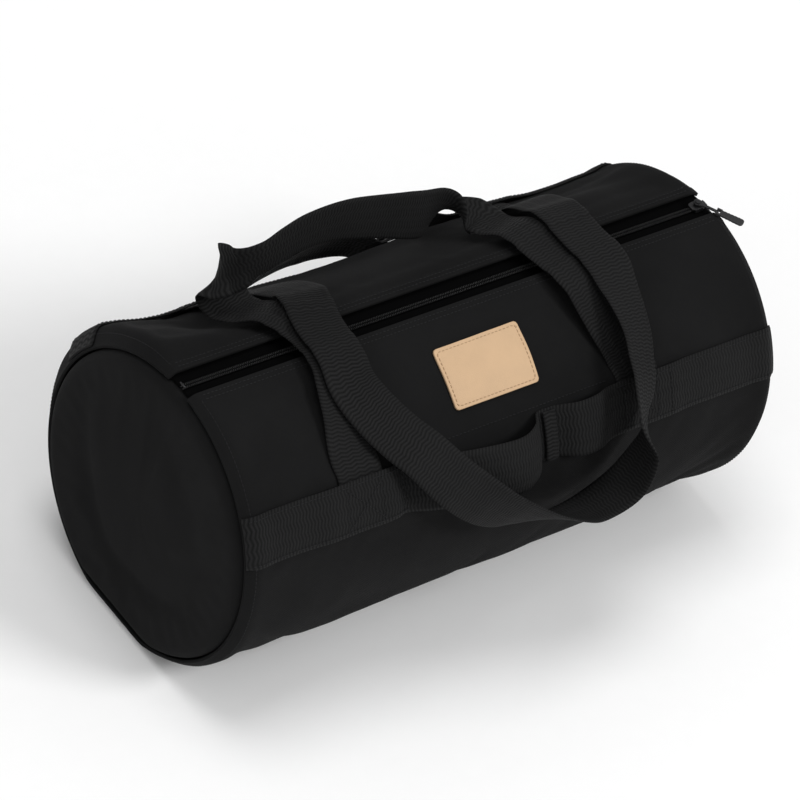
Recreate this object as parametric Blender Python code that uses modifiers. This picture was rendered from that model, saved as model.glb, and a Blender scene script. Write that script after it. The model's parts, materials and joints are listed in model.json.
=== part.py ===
"""Rope storage bag: a canvas barrel with a top zip, gear webbing and two webbing handles.

Metres, +Z up. The origin is on the floor under the middle of the bag. +X runs along the
barrel to the end where the closed zip's slider stands, and -Y is the side with the patch.
A place on the barrel is given by x, by an angle from straight up (positive towards the
front, -Y) and by a height over the fabric.
"""

import math

import bmesh
import bpy
from mathutils import Matrix, Vector

# Driving dimensions
BAG_LENGTH = 0.510
BAG_RADIUS = 0.125
AXIS_HEIGHT = 0.117          # the bottom is flattened by radius less this
FABRIC = 0.0025              # canvas with its lining
GAP = 0.0003                 # left between pieces that touch
SECTION_STEPS = 72           # sides of the barrel's round section

WEBBING_WIDTH = 0.040
WEBBING_THICKNESS = 0.0020

ZIP_OPENING_HALF = 0.0122    # half the slot that the zip lies in
TAPE_HALF_WIDTH = 0.0200
TAPE_INNER_EDGE = 0.0013     # each tape stops this far from the zip's middle
TAPE_THICKNESS = 0.0008
TAPE_TOP = 0.1202            # over the barrel's axis
COIL_WIDTH = 0.0024
COIL_HEIGHT = 0.0024
ZIP_LENGTH = 0.503

SLIDER_X = 0.243             # slider's place on the closed zip
SLIDER_LENGTH = 0.014
SLIDER_WIDTH = 0.0088
SLIDER_PLATE = 0.0015
SLIDER_FLANGE = 0.0013
STUD_RADIUS = 0.0015
STUD_OVERLAP = 0.0005        # how far the stud runs into the plate and the cap
CAP_RADIUS = 0.0024
CAP_HEIGHT = 0.0008
LINK_THICKNESS = 0.0013
LINK_LIFT = 0.0012           # carries the pull over the canvas hems
LINK_EYE = 0.0035
LINK_ARM_START = 0.0022
LINK_ARM_WIDTH = 0.0026
LINK_REACH = 0.0170
PIN_RADIUS = 0.0007
PIN_LENGTH = 0.0064
PIN_BORE_PLAY = 0.0002
GRIP_LENGTH = 0.024
GRIP_WIDTH = 0.0080
GRIP_THICKNESS = 0.0026
GRIP_SLOT_WIDTH = 0.0036
GRIP_NECK = 0.0016           # from the pin's axis to each end of the slot
PULL_HEADING = math.radians(-60.0)

STOP_LENGTH = 0.0012
STOP_WIDTH = 0.0060
STOP_HEIGHT = 0.0012
CUT_MARGIN = 0.002           # how far a cutter runs past what it cuts

BINDING_WIDTH = 0.020
BINDING_THICKNESS = 0.0015
BINDING_INSET = 0.0035       # from the canvas's inner face

PATCH_LENGTH = 0.080
PATCH_HEIGHT = 0.050
PATCH_THICKNESS = 0.0016
PATCH_X = -0.008
PATCH_ANGLE = 30.5

ALONG_BAG = (1.0, 0.0, 0.0)
BAND_ANGLE = 60.5            # middle of the gear webbing
LEG_FOOT_ANGLE = 69.0        # lower end of a handle's leg, under the gear webbing

FRONT_PIVOT_ANGLE = -22.0    # where the front handle leaves its legs
BACK_PIVOT_ANGLE = 13.0      # where the back handle leaves its legs
FRONT_PIVOT_GAP = 0.0018
BACK_PIVOT_GAP = 0.0018

CANVAS = (0.012, 0.012, 0.013, 1.0)
WEBBING = (0.017, 0.017, 0.018, 1.0)
ZIP_BLACK = (0.004, 0.004, 0.004, 1.0)
LEATHER = (0.68, 0.46, 0.27, 1.0)
HARDWARE = (0.020, 0.020, 0.021, 1.0)


# ---------------------------------------------------------------- scene and helpers

def clear_scene():
    for thing in list(bpy.data.objects):
        bpy.data.objects.remove(thing, do_unlink=True)


def new_collection(name):
    collection = bpy.data.collections.new(name)
    bpy.context.scene.collection.children.link(collection)
    return collection


def new_material(name, colour, roughness, metallic=0.0):
    material = bpy.data.materials.new(name)
    material.use_nodes = True
    shader = material.node_tree.nodes["Principled BSDF"]
    shader.inputs["Base Color"].default_value = colour
    shader.inputs["Roughness"].default_value = roughness
    shader.inputs["Metallic"].default_value = metallic
    return material


def finish(thing, collection, colour, roughness, metallic=0.0):
    """Put a piece in its collection with a material of its own."""
    for home in list(thing.users_collection):
        home.objects.unlink(thing)
    collection.objects.link(thing)
    thing.data.materials.clear()
    thing.data.materials.append(new_material(thing.name, colour, roughness, metallic))
    return thing


def mesh_object(name, mesh_builder):
    mesh = bpy.data.meshes.new(name)
    mesh_builder.to_mesh(mesh)
    mesh_builder.free()
    thing = bpy.data.objects.new(name, mesh)
    bpy.context.scene.collection.objects.link(thing)
    return thing


def grid_object(name, rows):
    """An open surface through rows of points that all have the same count."""
    builder = bmesh.new()
    grid = [[builder.verts.new(point) for point in row] for row in rows]
    for lower, upper in zip(grid, grid[1:]):
        for index in range(len(lower) - 1):
            builder.faces.new((lower[index], lower[index + 1], upper[index + 1], upper[index]))
    return mesh_object(name, builder)


def add_solidify(thing, thickness, offset):
    solid = thing.modifiers.new("Thickness", "SOLIDIFY")
    solid.thickness = thickness
    solid.offset = offset
    solid.use_even_offset = True
    return solid


def add_bevel(thing, width, segments=2):
    bevel = thing.modifiers.new("Rounded edges", "BEVEL")
    bevel.width = width
    bevel.segments = segments
    bevel.limit_method = "ANGLE"
    return bevel


def box_object(name, low, high):
    """A box between two corners."""
    low = Vector(low)
    high = Vector(high)
    builder = bmesh.new()
    bmesh.ops.create_cube(builder, size=1.0)
    size = high - low
    bmesh.ops.scale(builder, vec=size, verts=builder.verts)
    bmesh.ops.translate(builder, vec=(low + high) / 2.0, verts=builder.verts)
    return mesh_object(name, builder)


def cylinder_object(name, radius, length, centre, axis="Z", sides=24):
    builder = bmesh.new()
    bmesh.ops.create_cone(
        builder, cap_ends=True, segments=sides, radius1=radius, radius2=radius, depth=length
    )
    if axis != "Z":
        turn = Matrix.Rotation(math.radians(90.0), 3, "Y" if axis == "X" else "X")
        bmesh.ops.rotate(builder, matrix=turn, verts=builder.verts)
    bmesh.ops.translate(builder, vec=centre, verts=builder.verts)
    return mesh_object(name, builder)


def add_boolean(thing, tool, operation):
    cut = thing.modifiers.new(operation.title(), "BOOLEAN")
    cut.operation = operation
    cut.solver = "EXACT"
    cut.object = tool
    return cut


def hide_tool(tool, collection):
    for home in list(tool.users_collection):
        home.objects.unlink(tool)
    collection.objects.link(tool)
    tool.hide_render = True
    tool.display_type = "WIRE"


# ---------------------------------------------------------------- places on the barrel

def on_barrel(x, angle, height=0.0):
    """The point at an angle from straight up and a height over the fabric."""
    radius = BAG_RADIUS + height
    turn = math.radians(angle)
    return Vector((x, -radius * math.sin(turn), AXIS_HEIGHT + radius * math.cos(turn)))


def section_point(angle, inset=0.0):
    """The (y, z) point of the flattened round section, moved in by an inset."""
    turn = math.radians(angle)
    radius = BAG_RADIUS - inset
    height = AXIS_HEIGHT + radius * math.cos(turn)
    return -radius * math.sin(turn), max(height, inset)


def smooth_path(points, steps):
    """A curve through vectors, with a number of steps between each pair."""
    ends = [points[0] * 2 - points[1]] + points + [points[-1] * 2 - points[-2]]
    path = []
    for before, start, end, after in zip(ends, ends[1:], ends[2:], ends[3:]):
        for step in range(steps):
            t = step / steps
            path.append(
                0.5
                * (
                    2 * start
                    + (end - before) * t
                    + (2 * before - 5 * start + 4 * end - after) * t * t
                    + (3 * start - before - 3 * end + after) * t * t * t
                )
            )
    path.append(points[-1])
    return path


def webbing_strip(name, stations, steps=4, across=1, trim_start=0.0, trim_end=0.0):
    """Flat webbing along stations, each a middle point and a direction across the strip."""
    middles = smooth_path([Vector(middle) for middle, _ in stations], steps)
    sides = smooth_path([Vector(side).normalized() for _, side in stations], steps)
    if trim_start:
        middles[0] = middles[0] + (middles[1] - middles[0]).normalized() * trim_start
    if trim_end:
        middles[-1] = middles[-1] + (middles[-2] - middles[-1]).normalized() * trim_end
    rows = []
    last = len(middles) - 1
    for index, (middle, side) in enumerate(zip(middles, sides)):
        along = middles[min(index + 1, last)] - middles[max(index - 1, 0)]
        along.normalize()
        side = (side - along * side.dot(along)).normalized() * (WEBBING_WIDTH / 2.0)
        rows.append([middle + side * (2.0 * step / across - 1.0) for step in range(across + 1)])
    strip = grid_object(name, rows)
    add_solidify(strip, WEBBING_THICKNESS, 0.0)
    return strip


def around(x, angle, height):
    """A station of a strip that runs round the barrel."""
    return on_barrel(x, angle, height), ALONG_BAG


def mirrored(stations, sign):
    """Stations with their y side chosen by a sign."""
    return [((p[0], p[1] * sign, p[2]), (s[0], s[1] * sign, s[2])) for p, s in stations]


# ---------------------------------------------------------------- the canvas shell

def build_barrel(parts):
    """The main panel, a tube that is open along the top where the zip lies."""
    start = math.degrees(math.asin(ZIP_OPENING_HALF / BAG_RADIUS))
    sweep = 360.0 - 2.0 * start
    angles = [start + sweep * step / SECTION_STEPS for step in range(SECTION_STEPS + 1)]
    half = BAG_LENGTH / 2.0
    rows = []
    for x in (-half, half):
        rows.append([Vector((x, *section_point(angle))) for angle in angles])
    barrel = grid_object("barrel_panel", rows)
    add_solidify(barrel, FABRIC, -1.0)
    barrel.data.shade_smooth()
    barrel.data.set_sharp_from_angle(angle=math.radians(40.0))
    return finish(barrel, parts, CANVAS, 0.9)


def section_disc(name, x_low, x_high, inset):
    """A flat panel with the bag's section, moved in by an inset."""
    builder = bmesh.new()
    rim = [
        builder.verts.new((x_low, *section_point(360.0 * step / SECTION_STEPS, inset)))
        for step in range(SECTION_STEPS)
    ]
    face = builder.faces.new(rim)
    grown = bmesh.ops.extrude_face_region(builder, geom=[face])
    top = [item for item in grown["geom"] if isinstance(item, bmesh.types.BMVert)]
    bmesh.ops.translate(builder, vec=(x_high - x_low, 0.0, 0.0), verts=top)
    bmesh.ops.recalc_face_normals(builder, faces=builder.faces)
    return mesh_object(name, builder)


def build_end_panels(parts):
    """The two round ends, sewn inside the barrel's rims."""
    half = BAG_LENGTH / 2.0
    inset = FABRIC + GAP
    for name, sign in (("end_panel_left", -1.0), ("end_panel_right", 1.0)):
        faces = sorted((sign * (half - FABRIC), sign * half))
        panel = section_disc(name, faces[0], faces[1], inset)
        finish(panel, parts, CANVAS, 0.9)


def build_bindings(parts, cutters):
    """The tapes that bind the end seams inside the bag."""
    half = BAG_LENGTH / 2.0 - FABRIC - GAP
    outer = FABRIC + BINDING_INSET
    for name, sign in (("seam_binding_left", -1.0), ("seam_binding_right", 1.0)):
        faces = sorted((sign * (half - BINDING_WIDTH), sign * half))
        ring = section_disc(name, faces[0], faces[1], outer)
        inner = outer + BINDING_THICKNESS
        core = section_disc(name + "_core", faces[0] - CUT_MARGIN, faces[1] + CUT_MARGIN, inner)
        hide_tool(core, cutters)
        add_boolean(ring, core, "DIFFERENCE")
        finish(ring, parts, WEBBING, 0.85)


# ---------------------------------------------------------------- the zip

def build_zip(parts):
    """Two tapes under the canvas hems, a half coil on each, and a stop at each end."""
    half = ZIP_LENGTH / 2.0
    tape_top = AXIS_HEIGHT + TAPE_TOP
    tape_bottom = tape_top - TAPE_THICKNESS
    coil_low = tape_top + GAP
    coil_high = coil_low + COIL_HEIGHT
    for side, sign in (("front", -1.0), ("back", 1.0)):
        near, far = sorted((sign * TAPE_INNER_EDGE, sign * TAPE_HALF_WIDTH))
        tape = box_object("zip_tape_" + side, (-half, near, tape_bottom), (half, far, tape_top))
        finish(tape, parts, ZIP_BLACK, 0.8)
        near, far = sorted((sign * GAP / 2.0, sign * (COIL_WIDTH + GAP / 2.0)))
        coil = box_object("zip_coil_" + side, (-half, near, coil_low), (half, far, coil_high))
        finish(coil, parts, ZIP_BLACK, 0.45)
    stop_low = coil_high + GAP
    for side, sign in (("left", -1.0), ("right", 1.0)):
        near, far = sorted((sign * (half - STOP_LENGTH), sign * half))
        stop = box_object(
            "zip_stop_" + side,
            (near, -STOP_WIDTH / 2.0, stop_low),
            (far, STOP_WIDTH / 2.0, stop_low + STOP_HEIGHT),
        )
        add_bevel(stop, GAP)
        finish(stop, parts, HARDWARE, 0.35, 0.6)


def slider_levels():
    """Heights of the slider's plate, stud and link over the floor."""
    coil_high = AXIS_HEIGHT + TAPE_TOP + GAP + COIL_HEIGHT
    plate_low = coil_high + GAP
    plate_high = plate_low + SLIDER_PLATE
    link_low = plate_high + GAP + LINK_LIFT
    link_high = link_low + LINK_THICKNESS
    return plate_low, plate_high, link_low, link_high


def build_slider(parts, cutters):
    """A plate over the coils with side flanges, and a capped stud for the pull."""
    plate_low, plate_high, _, link_high = slider_levels()
    half_length = SLIDER_LENGTH / 2.0
    half_width = SLIDER_WIDTH / 2.0
    flange_low = AXIS_HEIGHT + TAPE_TOP + GAP
    slider = box_object(
        "zip_slider",
        (SLIDER_X - half_length, -half_width, flange_low),
        (SLIDER_X + half_length, half_width, plate_high),
    )
    channel = box_object(
        "slider_channel",
        (SLIDER_X - half_length - CUT_MARGIN, -half_width + SLIDER_FLANGE, flange_low - CUT_MARGIN),
        (SLIDER_X + half_length + CUT_MARGIN, half_width - SLIDER_FLANGE, plate_low),
    )
    hide_tool(channel, cutters)
    add_boolean(slider, channel, "DIFFERENCE")
    cap_low = link_high + GAP
    stud_height = cap_low - plate_high + 2.0 * STUD_OVERLAP
    stud_middle = plate_high - STUD_OVERLAP + stud_height / 2.0
    stud = cylinder_object("slider_stud", STUD_RADIUS, stud_height, (SLIDER_X, 0.0, stud_middle))
    cap_middle = cap_low + CAP_HEIGHT / 2.0
    cap = cylinder_object("slider_cap", CAP_RADIUS, CAP_HEIGHT, (SLIDER_X, 0.0, cap_middle))
    for tool in (stud, cap):
        hide_tool(tool, cutters)
        add_boolean(slider, tool, "UNION")
    return finish(slider, parts, HARDWARE, 0.35, 0.6)


def pull_frame():
    """Where the pull's own frame stands: its origin on the stud, its +X along the pull."""
    _, _, link_low, _ = slider_levels()
    return Matrix.Translation((SLIDER_X, 0.0, link_low)) @ Matrix.Rotation(PULL_HEADING, 4, "Z")


def build_pull(parts, cutters):
    """A link that turns on the stud, and a moulded grip that lifts on the link's pin."""
    place = pull_frame()
    middle = LINK_THICKNESS / 2.0
    link = cylinder_object("zip_pull_link", LINK_EYE, LINK_THICKNESS, (0.0, 0.0, middle))
    arm = box_object(
        "link_arm",
        (LINK_ARM_START, -LINK_ARM_WIDTH / 2.0, 0.0),
        (LINK_REACH, LINK_ARM_WIDTH / 2.0, LINK_THICKNESS),
    )
    pin_middle = (LINK_REACH, 0.0, middle)
    pin = cylinder_object("link_pin", PIN_RADIUS, PIN_LENGTH, pin_middle, axis="Y", sides=16)
    eye_depth = LINK_THICKNESS + 2.0 * CUT_MARGIN
    eye = cylinder_object("link_eye", STUD_RADIUS + GAP, eye_depth, (0.0, 0.0, middle))
    for tool, operation in ((arm, "UNION"), (pin, "UNION"), (eye, "DIFFERENCE")):
        tool.matrix_world = place
        hide_tool(tool, cutters)
        add_boolean(link, tool, operation)
    link.matrix_world = place
    finish(link, parts, HARDWARE, 0.35, 0.6)

    start = LINK_REACH - GRIP_NECK
    low = middle - GRIP_THICKNESS / 2.0
    grip = box_object(
        "zip_pull_grip",
        (start, -GRIP_WIDTH / 2.0, low),
        (start + GRIP_LENGTH, GRIP_WIDTH / 2.0, low + GRIP_THICKNESS),
    )
    add_bevel(grip, 2.0 * GAP)
    slot = box_object(
        "grip_slot",
        (start - CUT_MARGIN, -GRIP_SLOT_WIDTH / 2.0, low - CUT_MARGIN),
        (LINK_REACH + GRIP_NECK, GRIP_SLOT_WIDTH / 2.0, low + GRIP_THICKNESS + CUT_MARGIN),
    )
    bore_radius = PIN_RADIUS + PIN_BORE_PLAY
    bore_length = PIN_LENGTH + 2.0 * GAP
    bore = cylinder_object("grip_bore", bore_radius, bore_length, pin_middle, axis="Y", sides=16)
    for tool in (slot, bore):
        tool.matrix_world = place
        hide_tool(tool, cutters)
        add_boolean(grip, tool, "DIFFERENCE")
    grip.matrix_world = place
    finish(grip, parts, HARDWARE, 0.6)


# ---------------------------------------------------------------- gear webbing

def band_stations():
    """The gear webbing from end seam to end seam: x, height over the canvas and droop."""
    flat = WEBBING_THICKNESS / 2.0 + GAP
    over_leg = flat + WEBBING_THICKNESS + 2.0 * GAP
    half = BAG_LENGTH / 2.0
    profile = (
        (-half, flat, 0.0),
        (-0.210, flat, 0.0),
        (-0.178, over_leg, 0.0),
        (-0.150, over_leg, 0.0),
        (-0.122, over_leg, 0.0),
        (-0.108, flat, 0.0),
        (-0.085, 0.009, 1.0),
        (-0.045, 0.0165, 3.0),
        (-0.010, 0.0175, 4.0),
        (0.010, 0.0110, 2.5),
        (0.020, flat, 0.0),
        (0.036, flat, 0.0),
        (0.052, 0.0105, 0.5),
        (0.070, 0.0105, 0.5),
        (0.090, over_leg, 0.0),
        (0.118, over_leg, 0.0),
        (0.146, over_leg, 0.0),
        (0.178, flat, 0.0),
        (half, flat, 0.0),
    )
    stations = []
    for x, height, droop in profile:
        angle = BAND_ANGLE + droop
        turn = math.radians(angle)
        side = (0.0, -math.cos(turn), -math.sin(turn))
        stations.append((tuple(on_barrel(x, angle, height)), side))
    return stations


def build_gear_webbing(parts):
    """Webbing along both sides, tacked at steps so that it stands off in loops."""
    for name, sign in (("front_gear_webbing", 1.0), ("back_gear_webbing", -1.0)):
        stations = mirrored(band_stations(), sign)
        band = webbing_strip(name, stations, steps=3, across=4)
        bend_to_barrel(band)
        finish(band, parts, WEBBING, 0.85)


def bend_to_barrel(band):
    """Press a flat strip's edges down so that it follows the round canvas."""
    limit = BAG_RADIUS + WEBBING_THICKNESS / 2.0 + GAP
    for vertex in band.data.vertices:
        y = vertex.co.y
        z = vertex.co.z - AXIS_HEIGHT
        radius = math.hypot(y, z)
        middle = math.cos(math.asin(min(1.0, abs(across_offset(y, z)) / radius)))
        target = max(radius * middle, limit)
        vertex.co.y = y * target / radius
        vertex.co.z = AXIS_HEIGHT + z * target / radius


def across_offset(y, z):
    """Distance of a point from the gear webbing's middle plane."""
    turn = math.radians(BAND_ANGLE)
    return -abs(y) * math.cos(turn) + z * math.sin(turn)


# ---------------------------------------------------------------- handles

def leg_stations(foot_x, marks):
    """A leg from under the gear webbing to its pivot: x, angle and height at each mark."""
    flat = WEBBING_THICKNESS / 2.0 + GAP
    return [
        around(foot_x, LEG_FOOT_ANGLE, flat),
        around(foot_x, BAND_ANGLE, flat),
        around(foot_x, 50.0, flat),
    ] + [around(x, angle, height) for x, angle, height in marks]


# x, angle and height over the canvas, up the barrel and over the zip
FRONT_LEFT_MARKS = (
    (-0.148, 40.0, 0.0030),
    (-0.144, 30.0, 0.0068),
    (-0.140, 20.0, 0.0105),
    (-0.137, 12.0, 0.0105),
    (-0.137, 0.0, 0.0078),
    (-0.146, -12.0, 0.0098),
    (-0.158, FRONT_PIVOT_ANGLE, 0.0085),
)
FRONT_RIGHT_MARKS = (
    (0.114, 40.0, 0.0030),
    (0.106, 30.0, 0.0068),
    (0.100, 20.0, 0.0105),
    (0.095, 12.0, 0.0105),
    (0.090, 0.0, 0.0078),
    (0.085, -12.0, 0.0098),
    (0.078, FRONT_PIVOT_ANGLE, 0.0085),
)
BACK_LEFT_MARKS = (
    (-0.132, 40.0, 0.0040),
    (-0.118, 30.0, 0.0090),
    (-0.116, 20.0, 0.0130),
    (-0.122, 12.0, 0.0150),
    (-0.130, 0.0, 0.0128),
    (-0.133, -BACK_PIVOT_ANGLE, 0.0155),
)
BACK_RIGHT_MARKS = (
    (0.124, 40.0, 0.0040),
    (0.125, 30.0, 0.0090),
    (0.124, 20.0, 0.0130),
    (0.122, 12.0, 0.0150),
    (0.121, 0.0, 0.0128),
    (0.122, -BACK_PIVOT_ANGLE, 0.0155),
)


def build_legs(parts):
    """Four legs, sewn under the gear webbing and lying over the top of the barrel."""
    legs = (
        ("front_handle_leg_left", -0.148, FRONT_LEFT_MARKS, 1.0),
        ("front_handle_leg_right", 0.118, FRONT_RIGHT_MARKS, 1.0),
        ("back_handle_leg_left", -0.148, BACK_LEFT_MARKS, -1.0),
        ("back_handle_leg_right", 0.118, BACK_RIGHT_MARKS, -1.0),
    )
    for name, foot_x, marks, sign in legs:
        stations = mirrored([(tuple(p), s) for p, s in leg_stations(foot_x, marks)], sign)
        trim = FRONT_PIVOT_GAP if sign > 0 else BACK_PIVOT_GAP
        leg = webbing_strip(name, stations, steps=3, trim_end=trim)
        finish(leg, parts, WEBBING, 0.85)


def level(x, y, height):
    """A free point at a height over the barrel's axis."""
    return (x, y, AXIS_HEIGHT + height)


def front_handle_stations():
    """The front handle's free part: back off its left leg, round a curl, and over in an arc."""
    left = FRONT_LEFT_MARKS[-1]
    right = FRONT_RIGHT_MARKS[-1]
    return [
        (tuple(on_barrel(*left)), (1.0, 0.0, 0.0)),
        (level(-0.163, 0.064, 0.1225), (1.0, 0.1, 0.1)),
        (level(-0.167, 0.076, 0.1290), (0.8, 0.3, 0.5)),
        (level(-0.170, 0.079, 0.1400), (0.4, 0.1, 0.9)),
        (level(-0.170, 0.071, 0.1510), (0.2, -0.2, 1.0)),
        (level(-0.164, 0.060, 0.1590), (0.1, -0.2, 1.0)),
        (level(-0.152, 0.055, 0.1650), (0.0, -0.1, 1.0)),
        (level(-0.135, 0.056, 0.1690), (0.0, 0.0, 1.0)),
        (level(-0.112, 0.059, 0.1720), (0.0, 0.0, 1.0)),
        (level(-0.075, 0.062, 0.1690), (0.0, 0.0, 1.0)),
        (level(-0.025, 0.063, 0.1570), (0.0, 0.1, 1.0)),
        (level(0.012, 0.066, 0.1450), (0.0, 0.2, 1.0)),
        (level(0.052, 0.079, 0.1270), (-0.7, -0.4, 0.6)),
        (level(0.0735, 0.067, 0.1205), (-1.0, 0.0, 0.0)),
        (tuple(on_barrel(*right)), (-1.0, 0.0, 0.0)),
    ]


def back_handle_stations():
    """The back handle's free part: it lies over the top and hangs down the front."""
    left = BACK_LEFT_MARKS[-1]
    right = BACK_RIGHT_MARKS[-1]
    stations = [
        (on_barrel(left[0], BACK_PIVOT_ANGLE, left[2]), (1.0, 0.0, 0.0)),
        (on_barrel(-0.132, 24.0, 0.0145), (0.95, 0.15, 0.2)),
        (on_barrel(-0.120, 36.0, 0.0120), (0.85, 0.3, 0.4)),
        (on_barrel(-0.099, 50.0, 0.0170), (0.75, 0.4, 0.55)),
        (on_barrel(-0.073, 63.0, 0.0235), (0.6, 0.2, 0.75)),
        (on_barrel(-0.034, 75.5, 0.0260), (0.35, -0.25, 0.85)),
        (on_barrel(0.010, 84.0, 0.0260), (0.1, -0.7, 0.7)),
        (on_barrel(0.054, 88.0, 0.0250), (-0.05, -0.95, 0.3)),
        (on_barrel(0.089, 82.0, 0.0270), (-0.1, -0.98, 0.1)),
        (on_barrel(0.101, 71.0, 0.0290), (-0.3, -0.9, 0.05)),
        (on_barrel(0.101, 60.0, 0.0260), (-0.7, -0.7, 0.0)),
        (on_barrel(0.112, 49.0, 0.0200), (-0.85, -0.4, 0.2)),
        (on_barrel(0.120, 38.0, 0.0175), (-0.88, -0.2, 0.35)),
        (on_barrel(0.122, 26.0, 0.0165), (-0.93, -0.1, 0.25)),
        (on_barrel(right[0], BACK_PIVOT_ANGLE, right[2]), (-1.0, 0.0, 0.0)),
    ]
    return [(tuple(point), side) for point, side in stations]


def build_handles(parts):
    """Two free loops of webbing, each from one leg's end to the other's."""
    handles = (
        ("front_handle", front_handle_stations(), FRONT_PIVOT_GAP),
        ("back_handle", back_handle_stations(), BACK_PIVOT_GAP),
    )
    for name, stations, trim in handles:
        handle = webbing_strip(name, stations, steps=4, trim_start=trim, trim_end=trim)
        finish(handle, parts, WEBBING, 0.85)


# ---------------------------------------------------------------- leather patch

def build_patch(parts):
    """A plain leather patch that follows the round canvas."""
    height = PATCH_THICKNESS / 2.0 + GAP
    half_angle = math.degrees(PATCH_HEIGHT / 2.0 / (BAG_RADIUS + height))
    steps = 8
    rows = []
    for x in (PATCH_X - PATCH_LENGTH / 2.0, PATCH_X + PATCH_LENGTH / 2.0):
        angles = [PATCH_ANGLE - half_angle + 2.0 * half_angle * step / steps for step in range(steps + 1)]
        rows.append([on_barrel(x, angle, height) for angle in angles])
    patch = grid_object("leather_patch", rows)
    add_solidify(patch, PATCH_THICKNESS, 0.0)
    return finish(patch, parts, LEATHER, 0.6)


def main():
    clear_scene()
    parts = new_collection("rope_storage_bag")
    cutters = new_collection("cutters")
    build_barrel(parts)
    build_end_panels(parts)
    build_bindings(parts, cutters)
    build_zip(parts)
    build_slider(parts, cutters)
    build_pull(parts, cutters)
    build_gear_webbing(parts)
    build_legs(parts)
    build_handles(parts)
    build_patch(parts)


main()
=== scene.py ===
"""Rope storage bag: the finished fabric, webbing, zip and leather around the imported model.

Metres, +Z up. +X runs along the barrel to the end where the closed zip's slider stands, and
-Y is the side with the patch. A place on the canvas is given by x, by an angle from straight
up (positive towards the front, -Y) and by a height over the fabric.
"""

import json
import math

import bmesh
import bpy
import numpy as np
from bpy.props import FloatProperty, FloatVectorProperty, IntProperty, PointerProperty
from mathutils import Matrix, Vector, noise
from mathutils.bvhtree import BVHTree

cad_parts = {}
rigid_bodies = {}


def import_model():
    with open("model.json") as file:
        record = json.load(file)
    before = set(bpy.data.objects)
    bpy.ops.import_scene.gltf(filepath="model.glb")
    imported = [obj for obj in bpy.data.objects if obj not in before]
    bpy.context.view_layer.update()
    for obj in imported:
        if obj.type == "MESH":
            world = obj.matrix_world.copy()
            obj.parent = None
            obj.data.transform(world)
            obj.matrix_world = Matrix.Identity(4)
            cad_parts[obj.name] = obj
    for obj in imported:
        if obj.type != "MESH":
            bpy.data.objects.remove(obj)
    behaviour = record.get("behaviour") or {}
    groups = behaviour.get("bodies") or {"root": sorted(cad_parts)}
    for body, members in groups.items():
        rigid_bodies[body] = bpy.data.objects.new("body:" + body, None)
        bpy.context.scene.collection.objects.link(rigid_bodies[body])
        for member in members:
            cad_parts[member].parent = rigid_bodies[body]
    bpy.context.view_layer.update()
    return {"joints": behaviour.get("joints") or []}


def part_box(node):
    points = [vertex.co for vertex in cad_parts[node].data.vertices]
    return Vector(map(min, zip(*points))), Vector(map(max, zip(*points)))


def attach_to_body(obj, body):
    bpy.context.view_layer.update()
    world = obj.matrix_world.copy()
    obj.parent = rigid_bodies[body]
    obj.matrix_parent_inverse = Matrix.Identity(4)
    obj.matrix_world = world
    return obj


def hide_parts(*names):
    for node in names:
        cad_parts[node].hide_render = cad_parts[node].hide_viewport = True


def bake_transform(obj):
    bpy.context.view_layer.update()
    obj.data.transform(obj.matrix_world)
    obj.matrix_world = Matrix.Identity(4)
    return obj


bl_info = {
    "name": "Rope Storage Bag",
    "version": (1, 0, 0),
    "blender": (4, 5, 0),
    "location": "3D View > Sidebar > Rope Bag",
    "description": "Builds a canvas barrel bag with webbing handles, a coil zip and a leather patch",
    "category": "Add Mesh",
}

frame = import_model()

# ---------------------------------------------------------------- sizes from the frame

GAP = 0.0003
FABRIC = 0.0025
BARREL_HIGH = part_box("barrel_panel")[1]
HALF_LENGTH = BARREL_HIGH.x
RADIUS = BARREL_HIGH.y
AXIS_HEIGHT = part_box("end_panel_left")[1].z - (RADIUS - FABRIC - GAP)
SLOT_HALF = 0.0122
SLOT_ANGLE = math.degrees(math.asin(SLOT_HALF / RADIUS))
JOINTS = {joint["name"]: joint for joint in frame["joints"]}

BAND_ANGLE = 60.5
FLAT = 0.0013                # middle of webbing that lies on the canvas
OVER_LEG = 0.0039            # middle of webbing that lies on a handle's leg
HEM_WIDTH = 0.009
SEAM_WIDTH = 0.007

FACE_BULGE = 0.0044          # how far an end's face stands past the barrel's edge
BINDING_WIDTH = 0.016
BINDING_THICKNESS = 0.0012
BINDING_DEPTH = 0.0046       # middle of the binding under the canvas
BINDING_INSET = 0.0225       # middle of the binding in from the barrel's edge
PLEAT_X = 0.0285
PLEAT_WIDTH = 0.012
PLEAT_HALF = 8.6             # half of the pleat's length, in degrees round the barrel
FOLLOWS_BELOW = 0.03         # webbing lower than this over the canvas follows it as it settles
FREE_ABOVE = 0.06            # webbing higher than this does not

CAMERA_AZIMUTH = -49.08
CAMERA_ELEVATION = 42.29
CAMERA_ROLL = 17.98
CAMERA_DISTANCE = 4.063
CAMERA_LENS = 240.2
AIM_LEFT = 0.0111            # the camera's aim, from the middle of the barrel
AIM_UP = 0.0055


# ---------------------------------------------------------------- settings

def length_setting(name, description, default, low, high):
    return FloatProperty(
        name=name, description=description, default=default, min=low, max=high,
        subtype="DISTANCE", unit="LENGTH",
    )


def colour_setting(name, description, default):
    return FloatVectorProperty(
        name=name, description=description, default=default, min=0.0, max=1.0,
        subtype="COLOR", size=4,
    )


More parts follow.
